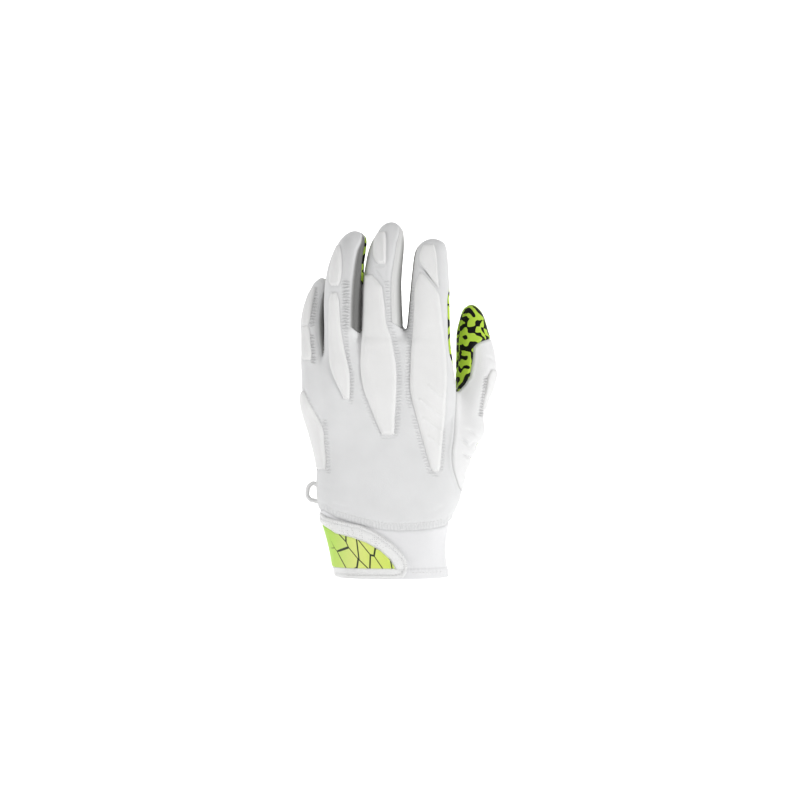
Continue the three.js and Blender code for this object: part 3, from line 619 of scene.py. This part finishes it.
# The cloth is drawn down round the foam pads, so their outlines come here. Each row is height, left edge,
# right edge. rise is how far the pad stands proud, edge is the breadth of its round edge.
PADS = {
    "pad_index_tip": {"rise": 1.3, "edge": 1.6, "rows": [
        (213, 22, 29), (208, 20, 30.2), (202, 19.6, 30.8), (197.5, 22.4, 31), (193, 25.5, 31.3),
        (188, 28.8, 31.8), (185, 30.8, 32)]},
    "pad_index_long": {"rise": 1.9, "edge": 2.8, "rows": [
        (194.5, 19.5, 21.5), (190, 18, 25.5), (186, 16.8, 28.5), (181, 16.2, 31.8), (175, 16, 32.8),
        (168, 15.6, 33.6), (158, 15.2, 34.8), (145, 14.1, 36.3), (132, 13.6, 37), (121, 13.4, 36.9),
        (114.5, 14.4, 36.3), (103.7, 17.2, 35.8), (94, 19.8, 34.8), (83.8, 22.6, 33.8), (75, 25.0, 33),
        (70, 26.6, 32.4), (67.8, 27.8, 31.8)]},
    "pad_middle_tip": {"rise": 1.3, "edge": 1.5, "rows": [
        (221.5, -7, -2.6), (218, -9.3, -2), (212, -10.4, -1.8), (207, -10.4, -1.9), (203, -9.2, -1.9),
        (200.4, -7, -2.2)]},
    "pad_middle_long": {"rise": 1.9, "edge": 2.8, "rows": [
        (193.5, -15.5, -11), (189.5, -16, -7.5), (186, -16.2, -4.8), (180.5, -16.4, -3.8),
        (170.9, -16.6, -2.6), (161.3, -17, -1.5), (155, -17.4, 0.8), (143, -18, 3.2), (132, -18, 4.8),
        (118.4, -15.5, 4.6), (109.4, -12, 4.2), (100.5, -8.5, 3.6), (94, -5.6, 3.4), (91.2, -4.4, 3.2)]},
    "pad_ring_tip": {"rise": 1.2, "edge": 1.5, "rows": [
        (213, -34, -31.6), (208, -35.9, -30.7), (200, -37.6, -30.2), (192, -38.6, -30.6), (188, -38.2, -31.6),
        (186.2, -37, -32.6)]},
    "pad_ring_long": {"rise": 1.7, "edge": 2.5, "rows": [
        (182, -37, -33.6), (177, -38.4, -32), (171, -38.6, -31.6), (158, -38.8, -30.5), (145, -38.6, -28.2),
        (132.5, -37, -25.4), (124, -33.5, -24.8), (117, -30, -24.9), (113.6, -28.6, -25.2)]},
    "pad_little": {"rise": 1.1, "edge": 1.5, "rows": [
        (186, -50, -46.6), (180, -53, -47.8), (172, -55, -49.4), (165, -55.8, -50.6), (162.2, -55.9, -51.4),
        (161, -55.9, -51.6), (158.7, -56, -51), (150, -56.4, -50.2), (142, -56, -49.4), (139, -55, -49.8)]},
    "pad_hand_edge": {"rise": 1.5, "edge": 2.0, "rows": [
        (119, -56, -54), (112, -60, -51), (104, -60, -46.6), (96, -60, -42.4), (84, -60, -41), (73, -56, -40),
        (69, -52, -40.4)]},
    "pad_thumb": {"rise": 1.2, "edge": 1.5, "rows": [
        (133, 66, 71), (129, 63.8, 72), (122, 62.8, 72), (115, 61.6, 72), (109, 60.6, 66),
        (106.5, 60.8, 64)]},
}
OUTLINES = {}
for node, pad in PADS.items():
    rows = np.array(pad["rows"][::-1], float)
    heights = np.unique(np.concatenate([np.linspace(rows[0, 0], rows[-1, 0], 36), rows[:, 0]]))
    left, right = [through(rows[:, 0], rows[:, c], heights) for c in (1, 2)]
    OUTLINES[node] = [*zip(left, heights)] + [*zip(right, heights)][::-1]

# Strips beside the pads where the cloth is drawn in small puckers: a line, half width, strength.
# The strength sets the puckers' relief and their painted shade.
PUCKERS = [
    ([(-27.6, 188), (-27.2, 176), (-27.8, 160)], 2.4, 0.85),
    ([(-28, 163), (-26.2, 140), (-23.4, 128), (-24, 112)], 1.3, 0.6),
    ([(-1.4, 189), (-0.4, 175), (0.8, 160)], 1.5, 0.55),
    ([(2.4, 158), (6.2, 138), (6.6, 122), (5.6, 102), (4.6, 92)], 1.6, 0.5),
    ([(14.0, 186), (13.6, 160), (12.4, 140), (11.8, 120), (13.2, 110)], 1.8, 0.6),
    ([(15.5, 103), (21.0, 82), (25.6, 68), (30, 65.5)], 1.4, 0.55),
    ([(34.6, 96), (34.4, 80), (33.2, 69)], 1.1, 0.4),
    ([(-47.6, 183), (-48.2, 172), (-49.2, 162)], 2.0, 0.9), ([(-49.4, 154), (-48.2, 138)], 1.8, 0.9),
    ([(-40.8, 100), (-39.4, 84), (-38.4, 68)], 1.6, 0.6), ([(-55, 120), (-50, 111), (-44, 100)], 1.0, 0.4),
    ([(62.6, 127), (61, 116), (59, 104)], 1.9, 1.0),
    ([(-17.4, 120), (-14, 109), (-8, 96), (-4, 89.5), (3, 89.8)], 1.1, 0.35),
]

# Painted shade on the backs of the ring and little fingers, as greyer strips: a line down each, half width,
# strength.
PAINTED_SHADE_STRIPS = [
    ([(-26.4, 215), (-26.2, 196), (-26.8, 160)], 3.4, 0.2),
    ([(-46.4, 184), (-47.6, 172), (-48.6, 140)], 3.2, 0.12),
]


def padded_edges(data, spots, seam):
    """The cloth drawn down in a bell round each pad, its painted shade (round the pads, in the puckers and on
    greyer strips), how puckered it is, and the puckers' phase.

    The phase is 2 pi times a place over the pucker's pitch: along x at the hem, along z beside the pads.
    """
    x, y, z = data[:, :3].T
    front = side_gap(x, y, z) < 1
    pucker = np.zeros(len(x))
    for line, width, strength in PUCKERS:
        pucker = np.maximum(pucker, strength * bell(signed(x, z, line), width, 4) * front)
    hem = 0.3 * bell(cuff_gap(x, y, z) - 2.2, 1.9, 4) * front
    phase = 2 * np.pi * np.where(hem > pucker, x / 1.9, z / 2.0)
    near = np.full(len(x), 99.0)
    for outline in OUTLINES.values():
        near = np.minimum(near, np.abs(outline_gap(x, z, outline)))
    near = np.where(front, near, 99)
    sink = 0.32 * bell(near, 1.2)
    # Painted shade where the cloth is drawn down round the pads, and in the strongest puckers.
    shade = np.maximum(seam, 0.16 * bell(near, 0.8))
    shade = np.maximum(shade, 0.95 * np.clip(pucker - 0.6, 0, 1))
    # Painted shade on greyer strips down the ring and little fingers.
    for line, width, strength in PAINTED_SHADE_STRIPS:
        shade = np.maximum(shade, strength * bell(signed(x, z, line), width, 4) * front)
    return spots - sink[:, None] * data[:, 3:6], shade, np.maximum(pucker, hem), phase


white = cloth("white_cloth", (0.805, 0.808, 0.811), 0.75, 0.25, 2200, 0.25)
spots, seam, pucker, phase = padded_edges(back, *lowered(back))
back_panel = piece("back_panel_cloth", spots, back_faces, white, seam, pucker, phase)
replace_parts(back_panel, "back_panel")

# Thumb panel and its gusset: one piece of the same white cloth, given a whiter colour than the back panel as
# painted light where it turns to the light.
# It is sewn to the back panel down the long seam, and to the lime wrap round the thumb.
thumb_white_painted_light = cloth("thumb_white_painted_light", (0.88, 0.88, 0.88), 0.75, 0.25, 2200, 0.25)
spots, seam, pucker, phase = padded_edges(gusset, *lowered(gusset))
thumb_panel = piece("thumb_panel_cloth", spots, gusset_faces, thumb_white_painted_light, seam, pucker, phase)
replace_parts(thumb_panel, "thumb_panel")

# Finger walls: three strips of grey stretch mesh, each sewn in between two fingers from tip to tip. The
# mesh's grey is darkened as painted shade between the fingers.
# Each row is how white and how wide the turned edge shows in front, for the walls from the little finger on:
# partly the mesh's own paler edge, partly painted light.
WALL_TURNS_AND_PAINTED_LIGHT = [(0.5, 0.6), (0.45, 0.6), (1.0, 5.0)]
mesh_with_painted_shading = cloth("wall_mesh", (0.19, 0.19, 0.185), 0.85, 0.2, 1500, 0.5, (0.82, 0.82, 0.81))
which = wall_gap(*walls[:, :3].T)[1]
middle_of = which[wall_faces]
for k, node in enumerate(["finger_wall_little_ring", "finger_wall_ring_middle", "finger_wall_middle_index"]):
    own = wall_faces[np.round(middle_of.mean(axis=1)).astype(int) == k]
    used, own = np.unique(own, return_inverse=True)
    spots = lowered(walls[used])[0]
    x, y, z = walls[used][:, :3].T
    u, v = local(FINGERS[k], x, y, z)
    _, _, squared, ratio, _ = section(FINGERS[k], z)
    depth = np.sqrt(np.maximum(squared, 1)) / ratio
    along = (z - CROTCHES[k]) / (TUBES[FINGERS[k]]["top"] - CROTCHES[k])
    turned = v + WALL_FRONTS[k] * depth * np.interp(along, *zip(*WALL_SHARES))
    strength, width = WALL_TURNS_AND_PAINTED_LIGHT[k]
    # The turned edge's paler colour: partly the mesh's own edge and partly painted light.
    seam = np.where(u > 0, strength * bell(np.maximum(turned, 0), width), 0)
    wall = piece(node + "_cloth", spots, own.reshape(-1, 3), mesh_with_painted_shading, seam)
    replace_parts(wall, node)

# Palm panel and thumb wrap: tacky lime grip cloth with a dark mottled print, two pieces.
# The palm panel takes in the fronts of the fingers and is sewn to the back panel and the finger walls, and
# the wrap goes over the tip of the thumb. The print is where nine waves, pushed about by noise, sum low.
PRINT_WAVES = 9
PRINT_PITCH = 0.0053
PRINT_DRIFT = 0.008
grip = cloth("lime_grip", (0.56, 0.8, 0.08), 0.45, 0.0, 900, 0.15, (0.25, 0.36, 0.04))
grip.node_tree.nodes["Principled BSDF"].inputs["Specular IOR Level"].default_value = 0.2
tree = grip.node_tree
place = add_node(tree, "ShaderNodeTexCoord", {}).outputs["Object"]
drift = add_node(tree, "ShaderNodeTexNoise", {"Vector": place, "Scale": 120, "Detail": 1}).outputs["Color"]
pushed = add_node(tree, "ShaderNodeVectorMath", {0: drift, 1: (PRINT_DRIFT,) * 3, 2: place},
                  operation="MULTIPLY_ADD").outputs["Vector"]
waves = np.random.default_rng(5).normal(size=(PRINT_WAVES, 3))
waves *= 2 * math.pi / PRINT_PITCH / np.linalg.norm(waves, axis=1, keepdims=True)
total = None
for wave in waves:
    run = add_node(tree, "ShaderNodeVectorMath", {0: pushed, 1: wave.tolist()}, operation="DOT_PRODUCT")
    ripple = add_node(tree, "ShaderNodeMath", {0: run.outputs["Value"]}, operation="SINE").outputs["Value"]
    if total is not None:
        ripple = add_node(tree, "ShaderNodeMath", {0: total, 1: ripple}, operation="ADD").outputs["Value"]
    total = ripple
bare = add_node(tree, "ShaderNodeMapRange", {"Value": total, "From Min": -0.5, "From Max": -0.25})
print_over(grip, bare.outputs["Result"], tree.nodes["Group"].outputs["Colour"], [0.003, 0.0035, 0.003, 1])
for name, node, data, faces in [("palm_panel_grip", "palm_panel", palm, palm_faces),
                                ("thumb_wrap_grip", "thumb_wrap", wrap, wrap_faces)]:
    spots, seam = lowered(data)
    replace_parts(piece(name, spots, faces, grip, seam), node)

# Foam pads: nine pads of soft foam under white cloth, crowned and sewn down round their edges on the panels.
# Ribs and ridges are pressed into them, each given as its line, half width and height.
RIDGES = {
    "pad_index_long": [
        ([(24.5, 122), (35.8, 112.5)], 1.0, 0.55), ([(20.0, 113.5), (35.8, 101)], 1.0, 0.6),
        ([(22.0, 101.5), (35, 91)], 1.0, 0.55), ([(25.0, 90), (34, 82.5)], 0.9, 0.45),
        ([(30.5, 176), (33.5, 150), (35.2, 128), (34.6, 108), (32.4, 84)], 1.6, 0.5)],
    "pad_middle_long": [([(-13.5, 184), (-14, 160), (-14.2, 134), (-6, 104)], 2.2, 0.45)],
    "pad_ring_long": [([(-36, 176), (-36, 150), (-31, 124)], 1.8, 0.4)],
    "pad_index_tip": [([(28.2, 213), (29.6, 203), (30.6, 193)], 1.0, 0.6)],
    "pad_middle_tip": [([(-3.4, 221), (-3.2, 202)], 0.8, 0.6)],
    "pad_ring_tip": [([(-32, 210), (-31.8, 192)], 0.8, 0.4)],
    "pad_little": [],
    "pad_hand_edge": [([(-46, 104), (-43.5, 90), (-42.6, 74)], 1.6, 0.3)],
    "pad_thumb": [],
}
CROWN_BREADTH = 9.0
LITTLE_PAD_GROOVE = 161.0


def finer(data, triangles):
    """Each triangle split into four at the middles of its edges."""
    sides = np.concatenate([triangles[:, [0, 1]], triangles[:, [1, 2]], triangles[:, [2, 0]]])
    sides = np.sort(sides, axis=1)
    unique, index = np.unique(sides, axis=0, return_inverse=True)
    ab, bc, ca = index.reshape(3, -1) + len(data)
    a, b, c = triangles.T
    data = np.concatenate([data, (data[unique[:, 0]] + data[unique[:, 1]]) / 2])
    parts = [np.stack(t, axis=1) for t in ((a, ab, ca), (ab, b, bc), (ca, bc, c), (ab, bc, ca))]
    return data, np.concatenate(parts)


pad_cloth = cloth("pad_cloth", (0.885, 0.884, 0.878), 0.7, 0.25, 2200, 0.2)
for node, pad in PADS.items():
    outline = OUTLINES[node]
    source, source_faces = (gusset, gusset_faces) if node == "pad_thumb" else (back, back_faces)
    near = outline_gap(source[:, 0], source[:, 2], outline) < 2.5
    own_faces = source_faces[near[source_faces].any(axis=1)]
    used, own_faces = np.unique(own_faces, return_inverse=True)
    own, own_faces = finer(source[used], own_faces.reshape(-1, 3))
    x, y, z = own[:, :3].T
    inward = soft_least(-outline_gap(x, z, outline), -side_gap(x, y, z) - 0.3, 3.0)
    own, own_faces = clip(np.column_stack([own, inward]), own_faces, -inward)
    x, y, z, inward = own[:, [0, 1, 2, 6]].T
    if node == "pad_little":
        inward = np.minimum(inward, np.abs(z - LITTLE_PAD_GROOVE) + 0.2)
    edge = ramp(inward, pad["edge"])
    rise = pad["rise"] * (0.72 * rounded(edge) + 0.28 * rounded(ramp(inward, CROWN_BREADTH)))
    for line, width, height in RIDGES[node]:
        rise += height * bell(signed(x, z, line), width) * edge
    spots = own[:, :3] + (rise - 0.5 * (1 - edge) ** 2)[:, None] * own[:, 3:6]
    # The pad's cloth darkens towards its sewn-down edge: painted shade.
    made = piece(node + "_foam", spots, own_faces, pad_cloth, 0.18 * bell(inward, 0.6))
    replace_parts(made, node)


# Cuff: a close white stretch band sewn to the hand, with a turned and stitched hem round the wrist opening.
# Its outer cloth turns in at the hem and runs up inside as a plain lining.
WRIST_ROUND = 235


def wrist(z, t, lift):
    """Points on the hand's section at heights z and angles t, grown by lift, and what their normals need."""
    across, depth, squared, ratio, _ = section("hand", z)
    a = np.sqrt(squared)
    u = (a + lift) * np.sign(np.cos(t)) * np.abs(np.cos(t)) ** (2 / ROUNDNESS)
    v = (a / ratio + lift) * np.sign(np.sin(t)) * np.abs(np.sin(t)) ** (2 / ROUNDNESS)
    return np.stack([across + u, depth + v, z], axis=1), u, v, a, ratio


def grid_quads(rows, count):
    """Quads between rows of count points each, closed round."""
    i = np.arange(rows - 1)[:, None] * count
    j = np.arange(count)[None, :]
    p, q = i + j, i + (j + 1) % count
    return np.stack([p, q, q + count, p + count], -1).reshape(-1, 4)


def sleeve(lift, low, high, step):
    """A grid round the wrist at a height above the hand's own section, as points with normals and triangles.

    A normal is (sign(u) |u / a|^(n - 1) / a, sign(v) |v q / a|^(n - 1) q / a), where n is the roundness, a
    the half breadth and q the breadth over the depth.
    """
    count = int(WRIST_ROUND / step)
    rows = int((high - low) / step) + 1
    z = np.repeat(np.linspace(low, high, rows), count)
    spots, u, v, a, ratio = wrist(z, np.tile(np.linspace(0, 2 * np.pi, count, endpoint=False), rows), 0)
    n = np.stack([np.sign(u) * np.abs(u / a) ** (ROUNDNESS - 1) / a,
                  np.sign(v) * np.abs(v * ratio / a) ** (ROUNDNESS - 1) * ratio / a,
                  np.zeros(len(u))], axis=1)
    n /= np.maximum(np.linalg.norm(n, axis=1, keepdims=True), 1e-9)
    quads = grid_quads(rows, count)
    faces = np.concatenate([quads[:, :3], quads[:, [0, 2, 3]]])
    return np.concatenate([spots + lift * n, n], axis=1), faces


cuff_cloth = cloth("cuff_cloth", (0.86, 0.86, 0.87), 0.8, 0.2, 1800, 0.3)
outer, outer_faces = sleeve(0, 0.9, 46, 0.7)
outer, outer_faces = clip(outer, outer_faces, cuff_gap(*outer[:, :3].T))
x, y, z = outer[:, :3].T
hem = 0.45 / (1 + np.exp((z - 6.2 - 0.25 * np.sin(x * 1.7)) / 0.3))
hem += 0.12 * np.sin(2 * np.pi * x / 2.3) * bell(z - 5, 2.5)
hem -= 0.5 * bell(cuff_gap(x, y, z), 0.9)
outer_spots = outer[:, :3] + (hem - 0.05)[:, None] * outer[:, 3:6]
shade = 0.35 * bell(cuff_gap(x, y, z), 0.6) + 0.25 * bell(z - 6.4, 0.35)
cuff = piece("cuff_band_cloth", outer_spots, outer_faces, cuff_cloth, shade)
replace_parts(cuff, "cuff_band")

# Each row of the lining's profile is how far it lies outside the hand's section, and its height.
LINING_ROUND = 240
LINING = [(0.35, 0.95), (0.25, 0.45), (-0.1, 0.12), (-0.45, 0.02), (-0.85, 0.12), (-1.15, 0.5), (-1.25, 1.2)]
LINING += [(-1.3, z) for z in np.arange(2.0, 44, 1.5)]
lift, heights = [np.repeat(column, LINING_ROUND) for column in zip(*LINING)]
angles = np.tile(np.linspace(0, 2 * np.pi, LINING_ROUND, endpoint=False), len(LINING))
spots = wrist(heights, angles, lift)[0]
faces = grid_quads(len(LINING), LINING_ROUND)[:, ::-1]
piece("cuff_lining", spots, faces, cuff_cloth, np.zeros(len(spots)))

# Strap: a doubled white cloth that starts on the palm side, goes round the little finger side and ends in a
# rounded tongue on the back. It is pressed flat on the cuff and sewn round a little inside its edge.
STRAP = [(-60, 43), (-43.1, 41.3), (-39.7, 39), (-29.2, 36.5), (-18.1, 34.3), (-8.4, 30), (0.6, 23.9),
         (7.7, 17), (10.6, 13), (11.8, 9), (11.4, 5), (9.6, 1.2), (4, 0.3), (-60, 0.3)]
LIME = [(-60, 34.5), (-42, 34), (-36, 30.6), (-33.3, 28.8), (-22.3, 26.2), (-14, 23.2), (-5.6, 18.4),
        (0.6, 12.8), (4.1, 6.9), (-60, 6.9)]
strap_white = cloth("strap_white", (0.9, 0.9, 0.895), 0.8, 0.2, 1300, 0.8)


def strap_gap(x, y, z):
    """Negative on the strap: in its outline on the back of the hand, and on a round-cornered band behind."""
    behind = soft_least(soft_least(15 - x, 40.1 - 0.02 * x - z, 7.0), z - 0.6, 7.0)
    return np.where(y < 2, outline_gap(x, z, STRAP), -behind)


def tuck(x, z):
    """How far, from 0 to 1, the strap's corner at the little finger side goes down under the hand's cloth."""
    return ramp(z - 36.5, 4.5) * ramp(-30 - x, 8)


sheet, sheet_faces = sleeve(0.4, 0.3, 44, 0.55)
strap, strap_faces = clip(sheet, sheet_faces, strap_gap(*sheet[:, :3].T))
x, y, z = strap[:, :3].T
edge = strap_gap(x, y, z)
lift = 1.5 * rounded(ramp(-edge, 1.0)) - 0.45 - 1.5 * tuck(x, z)
spots = strap[:, :3] + lift[:, None] * strap[:, 3:6]
sewn = bell(-edge - 2.6, 0.45)
spots -= 0.35 * sewn[:, None] * strap[:, 3:6]
shade = np.maximum(0.35 * bell(edge, 0.6), 0.3 * sewn)
strap_base = piece("strap_base_cloth", spots, strap_faces, strap_white, shade)
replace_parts(strap_base, "strap_base")

# Strap binding: the raised white border above the lime panel, in a perforated cloth, sewn down on the strap.
# The holes are the middles of small cells, in rows that are only a little uneven, painted grey as the shade
# inside them.
PAINTED_HOLE_SHADE = [0.6, 0.6, 0.6, 1]
strap_mesh = cloth("strap_mesh", (0.92, 0.92, 0.915), 0.8, 0.2, 1300, 0.8)
tree = strap_mesh.node_tree
place = add_node(tree, "ShaderNodeTexCoord", {}).outputs["Object"]
holes = add_node(tree, "ShaderNodeTexVoronoi", {"Vector": place, "Scale": 760, "Randomness": 0.45})
bare = add_node(tree, "ShaderNodeMapRange", {
    "Value": holes.outputs["Distance"], "From Min": 0.14, "From Max": 0.3})
print_over(strap_mesh, bare.outputs["Result"], tree.nodes["Group"].outputs["Colour"], PAINTED_HOLE_SHADE)
binding, binding_faces = clip(strap, strap_faces, strap[:, 1])
binding, binding_faces = clip(binding, binding_faces, 0.2 - outline_gap(binding[:, 0], binding[:, 2], LIME))
binding, binding_faces = clip(binding, binding_faces, 6.5 - binding[:, 2])
x, y, z = binding[:, :3].T
edge = np.minimum.reduce([-outline_gap(x, z, STRAP), outline_gap(x, z, LIME) - 0.2, -y])
sewn = bell(-outline_gap(x, z, STRAP) - 2.2, 0.45)
lift = 0.9 + 1.3 * rounded(ramp(edge, 1.3)) - 0.45 * sewn - 1.6 * tuck(x, z)
spots = binding[:, :3] + lift[:, None] * binding[:, 3:6]
shade = np.maximum(0.4 * bell(edge, 0.5), 0.35 * sewn)
strap_binding = piece("strap_binding_cloth", spots, binding_faces, strap_mesh, shade)
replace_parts(strap_binding, "strap_binding")

# Strap print: a smooth lime panel fused onto the strap, greener at the wrist's edge, yellower in the middle.
# Fine dark cracks run over it and thin out towards the edge: they are the borders of slanted flat cells.
lime = cloth("strap_lime", (0.62, 0.82, 0.16), 0.5, 0.0, 900, 0.2)
tree = lime.node_tree
place = add_node(tree, "ShaderNodeTexCoord", {}).outputs["Object"]
across = add_node(tree, "ShaderNodeSeparateXYZ", {"Vector": place}).outputs["X"]
along = add_node(tree, "ShaderNodeMapRange", {
    "Value": across, "From Min": -0.042, "From Max": 0.004}).outputs["Result"]
fade = add_node(tree, "ShaderNodeValToRGB", {"Fac": along})
fade.color_ramp.elements[0].color = [0.42, 0.74, 0.08, 1]
fade.color_ramp.elements[1].color = [0.68, 0.83, 0.12, 1]
fade.color_ramp.elements.new(0.45).color = [0.78, 0.86, 0.24, 1]
slant = add_node(tree, "ShaderNodeMapping", {
    "Vector": place, "Rotation": (0, 1.0, 0), "Scale": (2.8, 1.0, 1.0)}, vector_type="TEXTURE")
slanted = add_node(tree, "ShaderNodeSeparateXYZ", {"Vector": slant.outputs["Vector"]}).outputs
flat = add_node(tree, "ShaderNodeCombineXYZ", {"X": slanted["X"], "Y": slanted["Z"]})
cracks = add_node(tree, "ShaderNodeTexVoronoi", {"Vector": flat.outputs["Vector"], "Scale": 160},
                  feature="DISTANCE_TO_EDGE", voronoi_dimensions="2D")
crack_width = add_node(tree, "ShaderNodeMapRange", {
    "Value": along, "From Min": 0.06, "From Max": 0.25, "To Min": -0.01, "To Max": 0.045})
crack_gap = add_node(tree, "ShaderNodeMath", {
    0: cracks.outputs["Distance"], 1: crack_width.outputs["Result"]}, operation="SUBTRACT").outputs["Value"]
bare = add_node(tree, "ShaderNodeMapRange", {"Value": crack_gap, "From Min": -0.008, "From Max": 0.008})
print_over(lime, bare.outputs["Result"], fade.outputs["Color"], [0.02, 0.035, 0.01, 1])
panel, panel_faces = clip(strap, strap_faces, strap[:, 1] - 2)
panel, panel_faces = clip(panel, panel_faces, outline_gap(panel[:, 0], panel[:, 2], LIME))
x, y, z = panel[:, :3].T
lift = 0.9 + 0.7 * rounded(ramp(np.minimum(-outline_gap(x, z, LIME), 2 - y), 0.8))
spots = panel[:, :3] + lift[:, None] * panel[:, 3:6]
strap_print = piece("strap_print_panel", spots, panel_faces, lime, np.zeros(len(spots)))
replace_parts(strap_print, "strap_print")

# Pull tab: a loop of white webbing at the little finger side, to pull the glove on by.
# Both its ends are sewn in at the wrist. TAB_LOOP is its path about the CAD tab's side, TAB_RING its section.
TAB_HEIGHT = 54.0
TAB_DEPTH = 2.4
TAB_LOOP = [(2.4, -6), (-1.6, -5), (-3.2, -4.6), (-5.2, -1.9), (-5.0, 2.0), (-3.9, 4.4), (-1.2, 5.9),
            (2.4, 4)]
TAB_RING = [(1.3, -2.1), (1.4, 0), (1.3, 2.1), (0, 2.7), (-1.3, 2.1), (-1.4, 0), (-1.3, -2.1), (0, -2.7)]
TAB_STEPS = 60
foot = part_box("pull_tab")
t = np.linspace(0, 1, TAB_STEPS)
loop_x, loop_z = [through(np.linspace(0, 1, len(TAB_LOOP)), column, t) for column in zip(*TAB_LOOP)]
path_x, path_z = loop_x + foot[1].x * 1000, loop_z + TAB_HEIGHT
ahead = np.stack([np.gradient(path_x), np.gradient(path_z)], axis=1)
ahead /= np.linalg.norm(ahead, axis=1, keepdims=True)
off, along = np.array(TAB_RING).T
spots = np.stack([path_x[:, None] - off * ahead[:, 1:], np.tile(TAB_DEPTH + along, (TAB_STEPS, 1)),
                  path_z[:, None] + off * ahead[:, :1]], axis=2).reshape(-1, 3)
ends = [tuple(range(len(off)))[::-1], tuple(range(len(spots) - len(off), len(spots)))]
faces = grid_quads(TAB_STEPS, len(off)).tolist() + ends
pull_tab = piece("pull_tab_loop", spots, faces, strap_white, np.zeros(len(spots)))
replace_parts(pull_tab, "pull_tab")

# Seam stitches: short white threads beside the thumb seam, over the wrist seam, round the strap and at the
# hem. Each row is the line that the stitches follow and how far they lie off the worn form.
STITCHES = [
    ([(x - 1.6, z) for x, z in THUMB_SEAM[:12]], 0.05), ([(x, z + 4.6) for x, z in CUFF_SEAM[2:10]], -0.2),
    ([(-33, 34.3), (-29, 34.1), (-18.6, 32.0), (-9.4, 27.9), (-0.9, 22.1), (6.0, 15.4), (8.4, 12.2),
      (9.5, 8.9), (9.2, 5.6), (8, 3.2), (3.6, 2.6), (-12, 2.5), (-28, 2.5)], 2.05),
    ([(14, 4.2), (24, 4.2), (36, 4.2)], 0.45),
]
STITCH_PITCH = 2.2
HALF_STITCH = 0.75
THREAD_RING = np.array([(0.24, 0), (0, 0.26), (-0.24, 0), (0, -0.2)])[:, :, None, None]

# A stitch has 10 points: its start, a ring of 4 at each fifth from its ends, and its end.
STITCH_FACES = []
for j in range(4):
    m = (j + 1) % 4
    STITCH_FACES += [(0, 1 + m, 1 + j), (1 + j, 1 + m, 5 + m, 5 + j), (9, 5 + j, 5 + m)]
threads = []
for line, lift in STITCHES:
    line = np.array(line, float)
    along = np.append(0, np.cumsum(np.hypot(*np.diff(line, axis=0).T)))
    centres = np.arange(1.2, along[-1] - 1.0, STITCH_PITCH)
    ends = []
    for offset in (-HALF_STITCH, HALF_STITCH):
        x, z = [np.interp(centres + offset, along, line[:, c]) for c in (0, 1)]
        y = np.full(len(x), -32.0)
        for _ in range(60):
            y += 0.8 * np.maximum(distance(x, y, z), 0)
        ends.append(np.stack([x, y, z], axis=1))
    normal = slopes((ends[0] + ends[1]) / 2)[0]
    start, end = [point + lift * normal for point in ends]
    ahead = (end - start) / np.linalg.norm(end - start, axis=1, keepdims=True)
    out, up = THREAD_RING[:, 0] * np.cross(ahead, normal), THREAD_RING[:, 1] * normal
    rings = [start + share * (end - start) + out + up for share in (0.2, 0.8)]
    stitch = np.concatenate([(start - 0.1 * normal)[None], *rings, (end - 0.1 * normal)[None]])
    threads.append(stitch.transpose(1, 0, 2).reshape(-1, 3))
spots = np.concatenate(threads)
faces = [[first + corner for corner in face] for first in range(0, len(spots), 10) for face in STITCH_FACES]
thread_cloth = cloth("thread", (0.8, 0.8, 0.79), 0.6, 0.1, 3000, 0.2)
piece("seam_stitches", spots, faces, thread_cloth)

# Stage: a pale floor far below the glove and a wall behind it in one sweep, plain white from the front.
# Two soft lights at the sides model the glove, and a third, which faces away from it, lights the wall.
FLOOR_HEIGHT = -0.6
WALL_DEPTH = 2.1
BEND = 0.2
stage_material = bpy.data.materials.new("stage_pale")
stage_material.use_nodes = True
stage_material.node_tree.nodes["Principled BSDF"].inputs["Base Color"].default_value = (0.95, 0.95, 0.95, 1)
stage_material.node_tree.nodes["Principled BSDF"].inputs["Roughness"].default_value = 0.9
bend = np.linspace(0, math.pi / 2, 13)
profile = [(-2.6, FLOOR_HEIGHT)]
profile += [(WALL_DEPTH - BEND * (1 - math.sin(a)), FLOOR_HEIGHT + BEND * (1 - math.cos(a))) for a in bend]
profile.append((WALL_DEPTH, 3.0))
sweep = [(side_x, y, z) for y, z in profile for side_x in (-3.0, 3.0)]
sweep_faces = [(2 * k, 2 * k + 1, 2 * k + 3, 2 * k + 2) for k in range(len(profile) - 1)]
stage_mesh = bpy.data.meshes.new("stage")
stage_mesh.from_pydata(sweep, [], sweep_faces)
stage_mesh.materials.append(stage_material)
stage = bpy.data.objects.new("stage", stage_mesh)
bpy.context.scene.collection.objects.link(stage)
world = bpy.data.worlds.new("world")
world.use_nodes = True
world.node_tree.nodes["Background"].inputs["Color"].default_value = (1, 1, 1, 1)
world.node_tree.nodes["Background"].inputs["Strength"].default_value = 0.47
bpy.context.scene.world = world
for name, place, aim, width, height, power in [
    ("key", (1.6, -1.1, 0.1), (0, 0, 0.11), 0.6, 0.4, 17),
    ("fill", (-1.8, -0.7, 0.22), (0, 0, 0.11), 1.0, 0.65, 12.5),
    ("wall_light", (0, 0.6, 1.2), (0, 2.1, 0.55), 1.6, 1.6, 45),
]:
    light_data = bpy.data.lights.new(name, "AREA")
    light_data.shape = "RECTANGLE"
    light_data.size = width
    light_data.size_y = height
    light_data.energy = power
    light = bpy.data.objects.new(name, light_data)
    light.location = place
    away = np.array(aim) - np.array(place)
    pitch = math.acos(-away[2] / np.linalg.norm(away))
    light.rotation_euler = (pitch, 0, math.atan2(away[1], away[0]) - math.pi / 2)
    bpy.context.scene.collection.objects.link(light)
bpy.context.scene.view_settings.view_transform = "Standard"
